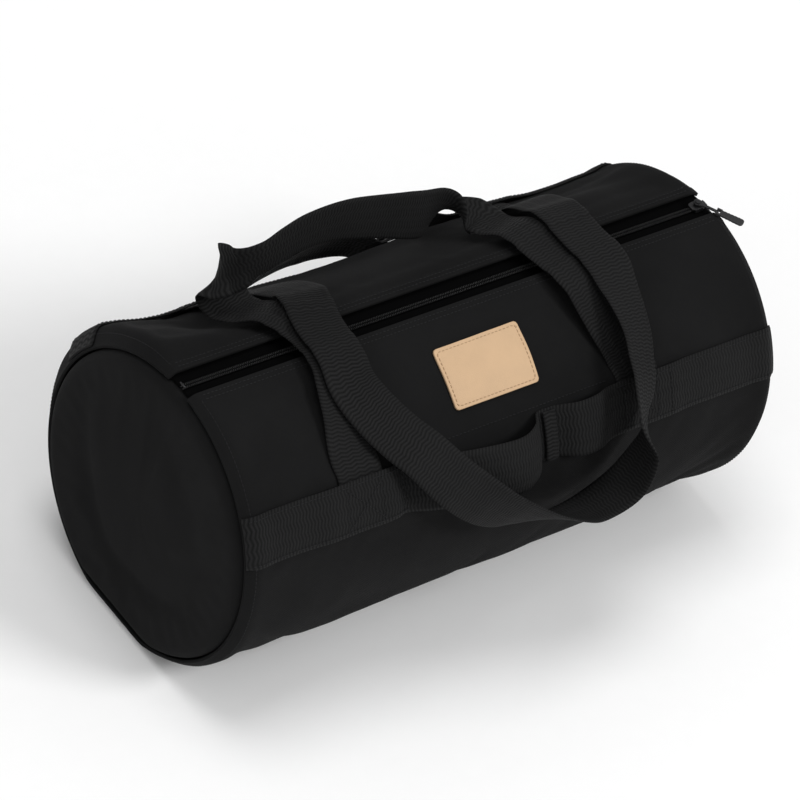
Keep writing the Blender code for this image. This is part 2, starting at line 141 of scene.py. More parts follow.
class BagCanvasSettings(bpy.types.PropertyGroup):
    """Sizes and colour of the canvas."""

    colour: colour_setting("Canvas colour", "Colour of the dyed canvas", (0.0078, 0.0078, 0.0080, 1.0))
    slack: FloatProperty(
        name="Slack", description="Extra fabric between the seams, as a share of its size",
        default=0.008, min=0.0, max=0.05,
    )
    pressure: FloatProperty(
        name="Filling", description="Outward push of what the bag holds",
        default=0.9, min=0.0, max=10.0,
    )
    travel: length_setting(
        "Furthest travel", "How far the fabric may settle from its cut shape", 0.0045, 0.0, 0.02,
    )
    thread: length_setting(
        "Thread pitch", "Spacing of the canvas threads", 0.0009, 0.0002, 0.004,
    )
    frames: IntProperty(
        name="Settling steps", description="Steps of the cloth simulation", default=22, min=2, max=80,
    )


class BagWebbingSettings(bpy.types.PropertyGroup):
    """Sizes and colour of the handles and the gear webbing."""

    colour: colour_setting("Webbing colour", "Colour of the dyed webbing", (0.0086, 0.0086, 0.0088, 1.0))
    width: length_setting("Width", "Width of the webbing", 0.040, 0.01, 0.08)
    thickness: length_setting("Thickness", "Thickness of the webbing", 0.0020, 0.0005, 0.005)
    rib: length_setting(
        "Rib pitch", "Spacing of the ribs across the webbing", 0.0029, 0.001, 0.01,
    )
    rib_depth: FloatProperty(
        name="Rib depth", description="Share of the thickness that the ribs take", default=0.16,
        min=0.0, max=0.5,
    )


class BagZipSettings(bpy.types.PropertyGroup):
    """Sizes and colour of the zip."""

    colour: colour_setting("Zip colour", "Colour of the tapes and the coil", (0.0009, 0.0009, 0.0010, 1.0))
    metal: colour_setting("Hardware colour", "Colour of the enamelled slider", (0.020, 0.020, 0.021, 1.0))
    pitch: length_setting(
        "Coil pitch", "Length of one turn of the coil", 0.0016, 0.0008, 0.005,
    )
    wire: length_setting(
        "Coil wire", "Radius of the coil's nylon wire", 0.00036, 0.0001, 0.001,
    )


class BagTrimSettings(bpy.types.PropertyGroup):
    """Sizes and colours of the thread and the patch."""

    thread: colour_setting("Thread colour", "Colour of the sewing thread", (0.013, 0.013, 0.014, 1.0))
    leather: colour_setting("Leather colour", "Colour of the patch", (0.57, 0.385, 0.228, 1.0))
    stitch: length_setting(
        "Stitch length", "Length of the thread that shows in one stitch", 0.0028, 0.0005, 0.01,
    )
    pitch: length_setting(
        "Stitch pitch", "Distance from one stitch to the next", 0.0036, 0.001, 0.02,
    )
    radius: length_setting(
        "Thread radius", "Radius of the sewing thread", 0.00036, 0.0001, 0.002,
    )
    corner: length_setting("Corner radius", "Radius of the patch's corners", 0.003, 0.0, 0.02)


# ---------------------------------------------------------------- mesh helpers

def smoothstep(low, high, value):
    t = np.clip((value - low) / (high - low), 0.0, 1.0)
    return t * t * (3.0 - 2.0 * t)


def bell(distance):
    return math.exp(-distance * distance)


def new_piece(name, builder, material):
    """A piece at the origin from a mesh builder, with one material, smooth."""
    mesh = bpy.data.meshes.new(name)
    builder.to_mesh(mesh)
    builder.free()
    mesh.materials.append(material)
    thing = bpy.data.objects.new(name, mesh)
    bpy.context.scene.collection.objects.link(thing)
    mesh.shade_smooth()
    return thing


def settle(thing):
    """Make a piece's modifiers part of its mesh."""
    graph = bpy.context.evaluated_depsgraph_get()
    made = bpy.data.meshes.new_from_object(thing.evaluated_get(graph), depsgraph=graph)
    made.name = thing.name
    thing.modifiers.clear()
    thing.data = made
    return thing


def attach(thing, body, slot, *nodes):
    """Ride on a body and stand for CAD nodes, which it hides; the slot is not used."""
    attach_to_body(thing, body)
    if nodes:
        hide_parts(*nodes)
    return thing


def add_thickness(thing, thickness):
    solid = thing.modifiers.new("Thickness", "SOLIDIFY")
    solid.thickness = thickness
    solid.offset = -1.0
    solid.use_even_offset = False


def add_rounding(thing, width):
    bevel = thing.modifiers.new("Rounded edges", "BEVEL")
    bevel.width = width
    bevel.segments = 3
    bevel.limit_method = "ANGLE"


def add_subdivision(thing):
    rounded = thing.modifiers.new("Soft surface", "SUBSURF")
    rounded.levels = 1
    rounded.render_levels = 1


# ---------------------------------------------------------------- shader groups

def new_group(name, inputs, outputs):
    tree = bpy.data.node_groups.new(name, "ShaderNodeTree")
    for label, kind, value in inputs:
        socket = tree.interface.new_socket(name=label, in_out="INPUT", socket_type=kind)
        if value is not None:
            socket.default_value = value
    for label, kind in outputs:
        tree.interface.new_socket(name=label, in_out="OUTPUT", socket_type=kind)
    start = tree.nodes.new("NodeGroupInput")
    end = tree.nodes.new("NodeGroupOutput")
    return tree, start, end


def maths(tree, operation, first, second=None, clamp=False):
    """A Math node fed by sockets or numbers."""
    node = tree.nodes.new("ShaderNodeMath")
    node.operation = operation
    node.use_clamp = clamp
    for index, value in enumerate((first, second)):
        if value is None:
            continue
        if isinstance(value, (int, float)):
            node.inputs[index].default_value = value
        else:
            tree.links.new(value, node.inputs[index])
    return node.outputs[0]


def wave(tree, coordinate, pitch):
    """From 0 to 1 and back once in each pitch."""
    turns = maths(tree, "DIVIDE", coordinate, pitch)
    angle = maths(tree, "MULTIPLY", turns, math.tau)
    rising = maths(tree, "SINE", angle)
    return half_up(tree, rising)


def half_up(tree, value):
    half = maths(tree, "MULTIPLY", value, 0.5)
    return maths(tree, "ADD", half, 0.5)


def noise_value(tree, vector, scale, detail=3.0):
    node = tree.nodes.new("ShaderNodeTexNoise")
    node.inputs["Scale"].default_value = scale
    node.inputs["Detail"].default_value = detail
    node.inputs["Roughness"].default_value = 0.55
    tree.links.new(vector, node.inputs["Vector"])
    return node.outputs["Fac"]


def weave_group():
    """Plain-woven threads: which of two sets of threads lies on top, and how high."""
    tree, start, end = new_group(
        "Plain weave",
        (("Vector", "NodeSocketVector", None), ("Pitch", "NodeSocketFloat", 0.001)),
        (("Height", "NodeSocketFloat"), ("Shade", "NodeSocketFloat")),
    )
    split = tree.nodes.new("ShaderNodeSeparateXYZ")
    tree.links.new(start.outputs["Vector"], split.inputs[0])
    pitch = start.outputs["Pitch"]
    across = wave(tree, split.outputs["X"], pitch)
    along = wave(tree, split.outputs["Y"], pitch)
    double = maths(tree, "MULTIPLY", pitch, 2.0)
    sum_of = maths(tree, "ADD", split.outputs["X"], split.outputs["Y"])
    turn = maths(tree, "GREATER_THAN", wave(tree, sum_of, double), 0.5)
    other = maths(tree, "SUBTRACT", 1.0, turn)
    over = maths(tree, "MULTIPLY", across, turn)
    under = maths(tree, "MULTIPLY", along, other)
    height = maths(tree, "ADD", over, under)
    slub = noise_value(tree, start.outputs["Vector"], 420.0)
    tree.links.new(maths(tree, "MULTIPLY", height, half_up(tree, slub)), end.inputs["Height"])
    tree.links.new(slub, end.inputs["Shade"])
    return tree


def webbing_group():
    """Webbing: slanted yarns in narrow rows along the strip, which make its ribs."""
    tree, start, end = new_group(
        "Ribbed webbing",
        (
            ("Vector", "NodeSocketVector", None),
            ("Rib Pitch", "NodeSocketFloat", 0.003),
            ("Row Pitch", "NodeSocketFloat", 0.004),
        ),
        (("Height", "NodeSocketFloat"), ("Shade", "NodeSocketFloat")),
    )
    split = tree.nodes.new("ShaderNodeSeparateXYZ")
    tree.links.new(start.outputs["Vector"], split.inputs[0])
    row_phase = maths(tree, "DIVIDE", split.outputs["Y"], start.outputs["Row Pitch"])
    triangle = maths(tree, "PINGPONG", row_phase, 1.0)
    lean = maths(tree, "MULTIPLY", triangle, maths(tree, "MULTIPLY", start.outputs["Rib Pitch"], 0.45))
    slanted = maths(tree, "ADD", split.outputs["X"], lean)
    ribs = wave(tree, slanted, start.outputs["Rib Pitch"])
    yarns = wave(tree, slanted, maths(tree, "MULTIPLY", start.outputs["Rib Pitch"], 0.25))
    rows = wave(tree, split.outputs["Y"], start.outputs["Row Pitch"])
    fine = maths(tree, "MULTIPLY", yarns, 0.25)
    height = maths(tree, "ADD", maths(tree, "MULTIPLY", ribs, 0.75), fine)
    height = maths(tree, "ADD", height, maths(tree, "MULTIPLY", rows, 0.3))
    tree.links.new(height, end.inputs["Height"])
    tree.links.new(ribs, end.inputs["Shade"])
    return tree


def dust_group():
    """Lint and handling marks: a soft mask that comes and goes over the surface."""
    tree, start, end = new_group(
        "Lint and handling",
        (("Vector", "NodeSocketVector", None), ("Amount", "NodeSocketFloat", 0.5)),
        (("Mask", "NodeSocketFloat"),),
    )
    broad = noise_value(tree, start.outputs["Vector"], 9.0, 4.0)
    fine = noise_value(tree, start.outputs["Vector"], 700.0, 2.0)
    specks = maths(tree, "SUBTRACT", fine, 0.62, clamp=True)
    soft = maths(tree, "SUBTRACT", broad, 0.40, clamp=True)
    both = maths(tree, "ADD", maths(tree, "MULTIPLY", specks, 1.6), maths(tree, "MULTIPLY", soft, 1.4))
    tree.links.new(maths(tree, "MULTIPLY", both, start.outputs["Amount"], True), end.inputs["Mask"])
    return tree


def grain_group():
    """Leather grain: small cells with creases between them, and cloudy tanning."""
    tree, start, end = new_group(
        "Leather grain",
        (("Vector", "NodeSocketVector", None), ("Scale", "NodeSocketFloat", 900.0)),
        (("Height", "NodeSocketFloat"), ("Cloud", "NodeSocketFloat")),
    )
    cells = tree.nodes.new("ShaderNodeTexVoronoi")
    cells.feature = "DISTANCE_TO_EDGE"
    tree.links.new(start.outputs["Vector"], cells.inputs["Vector"])
    tree.links.new(start.outputs["Scale"], cells.inputs["Scale"])
    crease = maths(tree, "MULTIPLY", cells.outputs["Distance"], 3.0, True)
    pores = noise_value(tree, start.outputs["Vector"], 1500.0, 2.0)
    tree.links.new(maths(tree, "MULTIPLY", crease, half_up(tree, pores)), end.inputs["Height"])
    tree.links.new(noise_value(tree, start.outputs["Vector"], 60.0, 5.0), end.inputs["Cloud"])
    return tree


def shared_group(name, make):
    return bpy.data.node_groups.get(name) or make()


# ---------------------------------------------------------------- materials

class Finish:
    """A material being put together: its tree, its shader and the nodes that feed it."""

    def __init__(self, name, roughness, metallic=0.0, sheen=0.0, specular=0.5):
        self.material = bpy.data.materials.new(name)
        self.material.use_nodes = True
        self.tree = self.material.node_tree
        self.shader = self.tree.nodes["Principled BSDF"]
        self.shader.inputs["Roughness"].default_value = roughness
        self.shader.inputs["Metallic"].default_value = metallic
        self.shader.inputs["Sheen Weight"].default_value = sheen
        self.shader.inputs["Sheen Roughness"].default_value = 0.5
        self.shader.inputs["Specular IOR Level"].default_value = specular
        self.coordinates = self.tree.nodes.new("ShaderNodeTexCoord")

    def group(self, tree, vector, **values):
        node = self.tree.nodes.new("ShaderNodeGroup")
        node.node_tree = tree
        self.tree.links.new(vector, node.inputs["Vector"])
        for label, value in values.items():
            node.inputs[label.replace("_", " ")].default_value = value
        return node

    def lint(self, amount):
        """The mask of lint and handling marks."""
        tree = shared_group("Lint and handling", dust_group)
        return self.group(tree, self.coordinates.outputs["Object"], Amount=amount).outputs["Mask"]

    def grain(self, scale):
        tree = shared_group("Leather grain", grain_group)
        return self.group(tree, self.coordinates.outputs["Object"], Scale=scale)

    def weave(self, pitch):
        tree = shared_group("Plain weave", weave_group)
        return self.group(tree, self.coordinates.outputs["UV"], Pitch=pitch)

    def colour_between(self, mask, dark, light):
        mix = self.tree.nodes.new("ShaderNodeMix")
        mix.data_type = "RGBA"
        self.tree.links.new(mask, mix.inputs["Factor"])
        for socket, value in ((mix.inputs[6], dark), (mix.inputs[7], light)):
            if isinstance(value, bpy.types.NodeSocket):
                self.tree.links.new(value, socket)
            else:
                socket.default_value = value
        return mix.outputs[2]

    def paint(self, colour):
        self.tree.links.new(colour, self.shader.inputs["Base Color"])

    def roughen(self, mask, low, high):
        spread = self.tree.nodes.new("ShaderNodeMapRange")
        spread.inputs["To Min"].default_value = low
        spread.inputs["To Max"].default_value = high
        self.tree.links.new(mask, spread.inputs["Value"])
        self.tree.links.new(spread.outputs["Result"], self.shader.inputs["Roughness"])

    def raise_by(self, height, distance, strength=1.0):
        bump = self.tree.nodes.new("ShaderNodeBump")
        bump.inputs["Distance"].default_value = distance
        bump.inputs["Strength"].default_value = strength
        self.tree.links.new(height, bump.inputs["Height"])
        self.tree.links.new(bump.outputs["Normal"], self.shader.inputs["Normal"])


def scaled(colour, factor):
    return tuple(min(1.0, channel * factor) for channel in colour[:3]) + (1.0,)


def finished(name, make):
    return bpy.data.materials.get(name) or make(name)


def canvas_finish(name="Black canvas"):
    settings = bpy.context.scene.bag_canvas
    finish = Finish(name, 0.9, sheen=0.004, specular=0.08)
    weave = finish.weave(settings.thread)
    lint = finish.lint(0.8)
    # Painted shade between the threads and painted highlight on their crowns: the weave's height darkens
    # or lightens the canvas colour.
    relief_shaded = finish.colour_between(
        weave.outputs["Height"], scaled(settings.colour, 0.72), scaled(settings.colour, 1.18)
    )
    finish.paint(finish.colour_between(lint, relief_shaded, scaled(settings.colour, 1.9)))
    finish.roughen(weave.outputs["Shade"], 0.82, 0.98)
    finish.raise_by(weave.outputs["Height"], 0.00018, 0.8)
    return finish.material


def webbing_finish(name="Black webbing"):
    settings = bpy.context.scene.bag_webbing
    finish = Finish(name, 0.8, sheen=0.004, specular=0.12)
    uv = finish.coordinates.outputs["UV"]
    ribs = finish.group(
        shared_group("Ribbed webbing", webbing_group), uv, Rib_Pitch=settings.rib, Row_Pitch=0.0050
    )
    lint = finish.lint(0.6)
    # Painted shade in the rib troughs and painted highlight on the rib crests: the ribs' wave darkens or
    # lightens the webbing colour.
    relief_shaded = finish.colour_between(
        ribs.outputs["Shade"], scaled(settings.colour, 0.55), scaled(settings.colour, 1.35)
    )
    finish.paint(finish.colour_between(lint, relief_shaded, scaled(settings.colour, 2.0)))
    finish.roughen(ribs.outputs["Shade"], 0.88, 0.68)
    finish.raise_by(ribs.outputs["Height"], 0.0005, 1.0)
    return finish.material


def tape_finish(name="Zip tape"):
    settings = bpy.context.scene.bag_zip
    finish = Finish(name, 0.9, specular=0.04)
    weave = finish.weave(0.0006)
    # Painted shade between the threads and painted highlight on their crowns, from the weave's height.
    finish.paint(
        finish.colour_between(
            weave.outputs["Height"], scaled(settings.colour, 0.7), scaled(settings.colour, 1.4)
        )
    )
    finish.raise_by(weave.outputs["Height"], 0.0001, 0.8)
    return finish.material


def nylon_finish(name="Coil nylon"):
    settings = bpy.context.scene.bag_zip
    finish = Finish(name, 0.4, specular=0.5)
    lint = finish.lint(0.5)
    finish.paint(
        finish.colour_between(lint, settings.colour[:], scaled(settings.colour, 2.5))
    )
    finish.roughen(lint, 0.36, 0.6)
    return finish.material


def enamel_finish(name="Black enamel"):
    settings = bpy.context.scene.bag_zip
    finish = Finish(name, 0.3, metallic=0.6, specular=0.5)
    lint = finish.lint(0.9)
    finish.paint(
        finish.colour_between(lint, settings.metal[:], scaled(settings.metal, 3.0))
    )
    finish.roughen(lint, 0.26, 0.5)
    finish.raise_by(lint, 0.00004, 0.4)
    return finish.material


def moulded_finish(name="Moulded grip"):
    settings = bpy.context.scene.bag_zip
    finish = Finish(name, 0.6, specular=0.4)
    grain = finish.grain(2600.0)
    finish.paint(
        finish.colour_between(
            grain.outputs["Cloud"], scaled(settings.metal, 0.6), scaled(settings.metal, 0.95)
        )
    )
    finish.roughen(grain.outputs["Cloud"], 0.5, 0.7)
    finish.raise_by(grain.outputs["Height"], 0.00003, 0.5)
    return finish.material


def thread_finish(name, colour):
    finish = Finish(name, 0.7, specular=0.16)
    lint = finish.lint(1.0)
    finish.paint(finish.colour_between(lint, scaled(colour, 0.85), scaled(colour, 1.5)))
    finish.roughen(lint, 0.62, 0.82)
    return finish.material


def leather_finish(name="Tan leather"):
    colour = bpy.context.scene.bag_trim.leather
    finish = Finish(name, 0.6, specular=0.35)
    grain = finish.grain(1100.0)
    edge = finish.tree.nodes.new("ShaderNodeAttribute")
    edge.attribute_name = "edge"
    tanned = finish.colour_between(grain.outputs["Cloud"], scaled(colour, 0.90), scaled(colour, 1.08))
    finish.paint(finish.colour_between(edge.outputs["Fac"], tanned, scaled(colour, 0.55)))
    finish.roughen(grain.outputs["Cloud"], 0.52, 0.70)
    finish.raise_by(grain.outputs["Height"], 0.00012, 0.6)
    return finish.material


def floor_finish(name="Studio floor"):
    finish = Finish(name, 0.9, specular=0.1)
    grain = finish.grain(3.0)
    finish.paint(
        finish.colour_between(grain.outputs["Cloud"], (0.93, 0.93, 0.93, 1.0), (0.95, 0.95, 0.95, 1.0))
    )
    return finish.material


# ---------------------------------------------------------------- the canvas surface

# x, angle, spread along x, spread round the barrel in degrees, and rise of each soft fold
FOLDS = (
    (-0.234, -82.0, 0.030, 48.0, 0.0105),
    (-0.226, -28.0, 0.028, 20.0, 0.0040),
    (-0.176, -35.0, 0.024, 11.0, -0.0075),
    (-0.122, -44.0, 0.034, 12.0, 0.0025),
    (0.165, -27.0, 0.055, 7.0, 0.0035),
    (0.160, -42.0, 0.062, 8.0, -0.0045),
    (0.055, -62.0, 0.050, 16.0, 0.0025),
    (0.205, 36.0, 0.030, 20.0, 0.0022),
    (-0.205, 30.0, 0.034, 16.0, 0.0022),
    (0.000, 98.0, 0.095, 16.0, 0.0030),
    (-0.180, 104.0, 0.050, 20.0, 0.0030),
    (0.205, 112.0, 0.030, 22.0, -0.0035),
)


def signed(angle):
    """An angle from -180 to 180."""
    return (angle + 180.0) % 360.0 - 180.0


def cut_radius(x, angle):
    """Radius of the sewn canvas before it settles."""
    angle = signed(angle)
    rise = 0.0
    for place, middle, spread, turn, height in FOLDS:
        rise += height * bell((x - place) / spread) * bell(signed(angle - middle) / turn)
    rise += 0.0014 * noise.noise(Vector((x * 14.0, angle / 26.0, 3.7)))
    rise += 0.0005 * noise.noise(Vector((x * 48.0, angle / 9.0, 8.1)))
    hem = RADIUS * math.radians(abs(angle) - SLOT_ANGLE)
    end = HALF_LENGTH - abs(x)
    rise *= float(smoothstep(0.004, 0.030, hem) * smoothstep(0.0, 0.014, end))
    rise += 0.0022 * bell((end - 0.011) / 0.009) * float(smoothstep(0.0, 0.02, hem))
    rise += 0.0009 * float(1.0 - smoothstep(HEM_WIDTH, HEM_WIDTH + 0.0012, hem))
    rise -= 0.0034 * float(1.0 - smoothstep(0.0, 0.0065, end))
    return RADIUS + rise


def spaced(low, high, fine, count):
    """Places from low to high: close at both ends, even between."""
    middle = np.linspace(low + fine[-1], high - fine[-1], count)
    first = [low + step for step in fine[:-1]]
    last = [high - step for step in reversed(fine[:-1])]
    return first + list(middle) + last


def relax(thing, loose, frames, slack, pressure, travel):
    """Let cloth settle where loose is above 0, and cap how far each point moves."""
    group = thing.vertex_groups.new(name="Sewn down")
    for index, share in enumerate(loose):
        group.add([index], 1.0 - float(share), "REPLACE")
    cloth = thing.modifiers.new("Canvas", "CLOTH")
    settings = cloth.settings
    settings.vertex_group_mass = group.name
    settings.pin_stiffness = 3.0
    settings.quality = 6
    settings.mass = 0.35
    settings.tension_stiffness = 25.0
    settings.compression_stiffness = 25.0
    settings.shear_stiffness = 12.0
    settings.bending_stiffness = 1.2
    settings.shrink_min = -slack
    settings.use_pressure = True
    settings.uniform_pressure_force = pressure
    settings.effector_weights.gravity = 0.25
    cloth.collision_settings.use_collision = False
    cloth.point_cache.frame_start = 1
    cloth.point_cache.frame_end = frames
    scene = bpy.context.scene
    for step in range(1, frames + 1):
        scene.frame_set(step)
    graph = bpy.context.evaluated_depsgraph_get()
    settled = thing.evaluated_get(graph).data
    before = mesh_points(thing.data)
    after = mesh_points(settled)
    scene.frame_set(1)
    thing.modifiers.clear()
    thing.vertex_groups.clear()
    moved = after - before
    reach = np.linalg.norm(moved, axis=1, keepdims=True)
    allowed = travel * np.tanh(reach / travel)
    points = before + moved * allowed / np.maximum(reach, 1e-9)
    place_points(thing.data, points)
    thing.data.update()


def place_points(mesh, points):
    mesh.vertices.foreach_set("co", points.astype(np.float32).ravel())


def mesh_points(mesh):
    points = np.zeros(len(mesh.vertices) * 3, np.float32)
    mesh.vertices.foreach_get("co", points)
    return points.reshape(-1, 3).astype(float)


def grid_faces(builder, grid, uv_rows=None):
    """Faces between rows of points, with the surface's own coordinates in metres."""
    layer = builder.loops.layers.uv.verify()
    for row in range(len(grid) - 1):
        for step in range(len(grid[row]) - 1):
            corners = ((row, step), (row, step + 1), (row + 1, step + 1), (row + 1, step))
            face = builder.faces.new([grid[a][b] for a, b in corners])
            if uv_rows:
                for loop, (a, b) in zip(face.loops, corners):
                    loop[layer].uv = uv_rows[a][b]


def bridge(builder, rings):
    """Faces between closed rings with the same number of points."""
    for first, second in zip(rings, rings[1:]):
        for step in range(len(first)):
            after = (step + 1) % len(first)
            builder.faces.new((first[step], first[after], second[after], second[step]))


def barrel_sheet(name, material):
    """The open sheet of canvas from hem to hem, and how loose each point is."""
    fine = (0.0, 0.0012, 0.0030, 0.0055, 0.0085, 0.0120)
    places = spaced(-HALF_LENGTH, HALF_LENGTH, fine, 84)
    arc = RADIUS * math.radians(360.0 - 2.0 * SLOT_ANGLE)
    hem_steps = (0.0, 0.0010, 0.0030, 0.0060, 0.0088, 0.0104, 0.0140)
    arcs = spaced(0.0, arc, hem_steps, 92)
    builder = bmesh.new()
    grid, uv_rows, loose = [], [], []
    for x in places:
        row, uvs = [], []
        for length in arcs:
            angle = SLOT_ANGLE + math.degrees(length / RADIUS)
            radius = cut_radius(x, angle)
            turn = math.radians(angle)
            height = max(AXIS_HEIGHT + radius * math.cos(turn), 0.0)
            row.append(builder.verts.new((x, -radius * math.sin(turn), height)))
            uvs.append((x, length))
            loose.append(looseness(x, signed(angle)))
        grid.append(row)
        uv_rows.append(uvs)
    grid_faces(builder, grid, uv_rows)
    bmesh.ops.recalc_face_normals(builder, faces=builder.faces)
    sample = builder.faces[len(builder.faces) // 2]
    centre = sample.calc_center_median() - Vector((0.0, 0.0, AXIS_HEIGHT))
    if sample.normal.dot(Vector((0.0, centre.y, centre.z))) < 0.0:
        bmesh.ops.reverse_faces(builder, faces=builder.faces)
    return new_piece(name, builder, material), loose


def looseness(x, angle):
    """From 0 where the canvas is sewn or rests on the floor to 1 where it is free."""
    hem = RADIUS * math.radians(abs(angle) - SLOT_ANGLE)
    end = HALF_LENGTH - abs(x)
    band = abs(RADIUS * math.radians(abs(angle) - BAND_ANGLE))
    free = smoothstep(0.012, 0.030, hem) * smoothstep(0.006, 0.022, end)
    free *= 0.25 + 0.75 * smoothstep(0.020, 0.034, band)
    free *= 1.0 - smoothstep(150.0, 160.0, abs(angle))
    return float(free)


CANVAS = {}


def measure_canvas(thing):
    """A table of the finished canvas's radius over x and angle, for what is sewn to it."""
    tree = BVHTree.FromObject(thing, bpy.context.evaluated_depsgraph_get())
    places = np.linspace(-HALF_LENGTH, HALF_LENGTH, 256)
    angles = np.linspace(-150.0, 150.0, 401)
    table = np.full((len(places), len(angles)), RADIUS)
    reach = RADIUS + 0.06
    for row, x in enumerate(places):
        for column, angle in enumerate(angles):
            if abs(angle) < SLOT_ANGLE + 0.4:
                continue
            turn = math.radians(angle)
            outward = Vector((0.0, -math.sin(turn), math.cos(turn)))
            place = min(max(x, -HALF_LENGTH + 0.0005), HALF_LENGTH - 0.0005)
            start = Vector((place, 0.0, AXIS_HEIGHT)) + outward * reach
            hit = tree.ray_cast(start, -outward, 0.1)
            if hit[0] is not None:
                table[row, column] = reach - hit[3]
    CANVAS["table"] = table


def canvas_radius(x, angle):
    """The finished canvas's radius at places given as arrays."""
    table = CANVAS["table"]
    row = np.clip((np.asarray(x) + HALF_LENGTH) / (2.0 * HALF_LENGTH), 0.0, 1.0)
    row = row * (table.shape[0] - 1.001)
    column = np.clip((np.asarray(angle) + 150.0) / 300.0, 0.0, 1.0)
    column = column * (table.shape[1] - 1.001)
    i = row.astype(int)
    j = column.astype(int)
    u = row - i
    v = column - j
    near = table[i, j] * (1 - v) + table[i, j + 1] * v
    far = table[i + 1, j] * (1 - v) + table[i + 1, j + 1] * v
    return near * (1 - u) + far * u


def on_canvas(x, angle, height):
    """Points at a height over the finished canvas, from arrays of the same length."""
    x, angle, height = np.broadcast_arrays(
        np.asarray(x, float), np.asarray(angle, float), np.asarray(height, float)
    )
    radius = canvas_radius(x, angle) + height
    turn = np.radians(angle)
    return np.stack([x, -radius * np.sin(turn), AXIS_HEIGHT + radius * np.cos(turn)], -1)


def on_barrel(x, angle, height):
    """A point over the plain round barrel that the frame holds."""
    radius = RADIUS + height
    turn = math.radians(angle)
    return (x, -radius * math.sin(turn), AXIS_HEIGHT + radius * math.cos(turn))


# ---------------------------------------------------------------- webbing

def smooth_rows(rows, steps=24):
    """Catmull-Rom through rows of numbers."""
    rows = np.asarray(rows, float)
    ends = np.vstack([2 * rows[0] - rows[1], rows, 2 * rows[-1] - rows[-2]])
    made = []
    for index in range(len(rows) - 1):
        before, start, end, after = ends[index : index + 4]
        for step in range(steps):
            t = step / steps
            made.append(
                0.5
                * (
                    2 * start
                    + (end - before) * t
                    + (2 * before - 5 * start + 4 * end - after) * t * t
                    + (3 * start - before - 3 * end + after) * t * t * t
                )
            )
    made.append(rows[-1])
    return np.array(made)


def length_along(points):
    """The length of a line of points, up to each of them."""
    return np.concatenate([[0.0], np.cumsum(np.linalg.norm(np.diff(points, axis=0), axis=1))])


def even_path(points, sides, spacing):
    """The path and its cross directions at an even spacing, with the length so far."""
    length = length_along(points)
    count = max(4, int(round(length[-1] / spacing)))
    wanted = np.linspace(0.0, length[-1], count + 1)
    path = np.stack([np.interp(wanted, length, points[:, axis]) for axis in range(3)], -1)
    cross = np.stack([np.interp(wanted, length, sides[:, axis]) for axis in range(3)], -1)
    return path, cross, wanted


def lift_rows(rows, least):
    """Carry rows of points with the settled canvas, and keep each point clear of it."""
    centre = rows.mean(axis=1)
    y = centre[:, 1]
    z = centre[:, 2] - AXIS_HEIGHT
    radius = np.hypot(y, z)
    angle = np.degrees(np.arctan2(-y, z))
    shift = canvas_radius(centre[:, 0], angle) - RADIUS
    shift *= 1.0 - smoothstep(FOLLOWS_BELOW, FREE_ABOVE, radius - RADIUS)
    outward = np.stack([np.zeros_like(y), y / radius, z / radius], -1)
    rows = rows + outward[:, None, :] * shift[:, None, None]
    y = rows[..., 1]
    z = rows[..., 2] - AXIS_HEIGHT
    radius = np.hypot(y, z)
    floor = canvas_radius(rows[..., 0], np.degrees(np.arctan2(-y, z))) + least
    target = np.maximum(radius, floor)
    rows[..., 1] = y * target / radius
    rows[..., 2] = AXIS_HEIGHT + z * target / radius
    return rows


def webbing_mesh(name, rows, along, width, thickness, rib, rib_depth, material):
    """A closed strip round rows of middle points, with ribs across and firm selvages."""
    count = rows.shape[1]
    forward = np.gradient(rows, axis=0)
    across = np.gradient(rows, axis=1)
    normal = np.cross(forward, across)
    normal /= np.maximum(np.linalg.norm(normal, axis=2, keepdims=True), 1e-9)
    share = np.linspace(-1.0, 1.0, count)
    edge = np.abs(share)
    profile = 1.0 - rib_depth * 0.5
    profile = profile + 0.14 * np.exp(-(((edge - 0.93) / 0.035) ** 2))
    profile = np.where(edge > 0.99, 0.45, profile)
    ribs = rib_depth * 0.5 * np.sin(math.tau * along / rib)
    ribs = ribs[:, None] * (edge < 0.9)[None, :]
    half = thickness / 2.0 * (profile[None, :] + ribs)
    top = rows + normal * half[..., None]
    bottom = rows - normal * half[..., None]
    builder = bmesh.new()
    layer = builder.loops.layers.uv.verify()
    ring = np.concatenate([top, bottom[:, ::-1]], axis=1)
    v = (share + 1.0) / 2.0 * width
    v_ring = list(v) + list(v[::-1])
    verts = [[builder.verts.new(point) for point in row] for row in ring]
    size = len(v_ring)
    for index in range(len(verts) - 1):
        for step in range(size):
            after = (step + 1) % size
            face = builder.faces.new(
                (verts[index][step], verts[index][after], verts[index + 1][after], verts[index + 1][step])
            )
            uvs = (
                (along[index], v_ring[step]),
                (along[index], v_ring[after]),
                (along[index + 1], v_ring[after]),
                (along[index + 1], v_ring[step]),
            )
            for loop, uv in zip(face.loops, uvs):
                loop[layer].uv = uv
    for row in (0, -1):
        for step in range(count - 1):
            corners = (verts[row][step], verts[row][step + 1])
            corners += (verts[row][size - 2 - step], verts[row][size - 1 - step])
            builder.faces.new(corners)
    bmesh.ops.recalc_face_normals(builder, faces=builder.faces)
    return new_piece(name, builder, material)


def ribbed(name, rows, along, width, thickness, material):
    """A strip with the ribs of the bag's webbing."""
    settings = bpy.context.scene.bag_webbing
    return webbing_mesh(name, rows, along, width, thickness, settings.rib, settings.rib_depth, material)


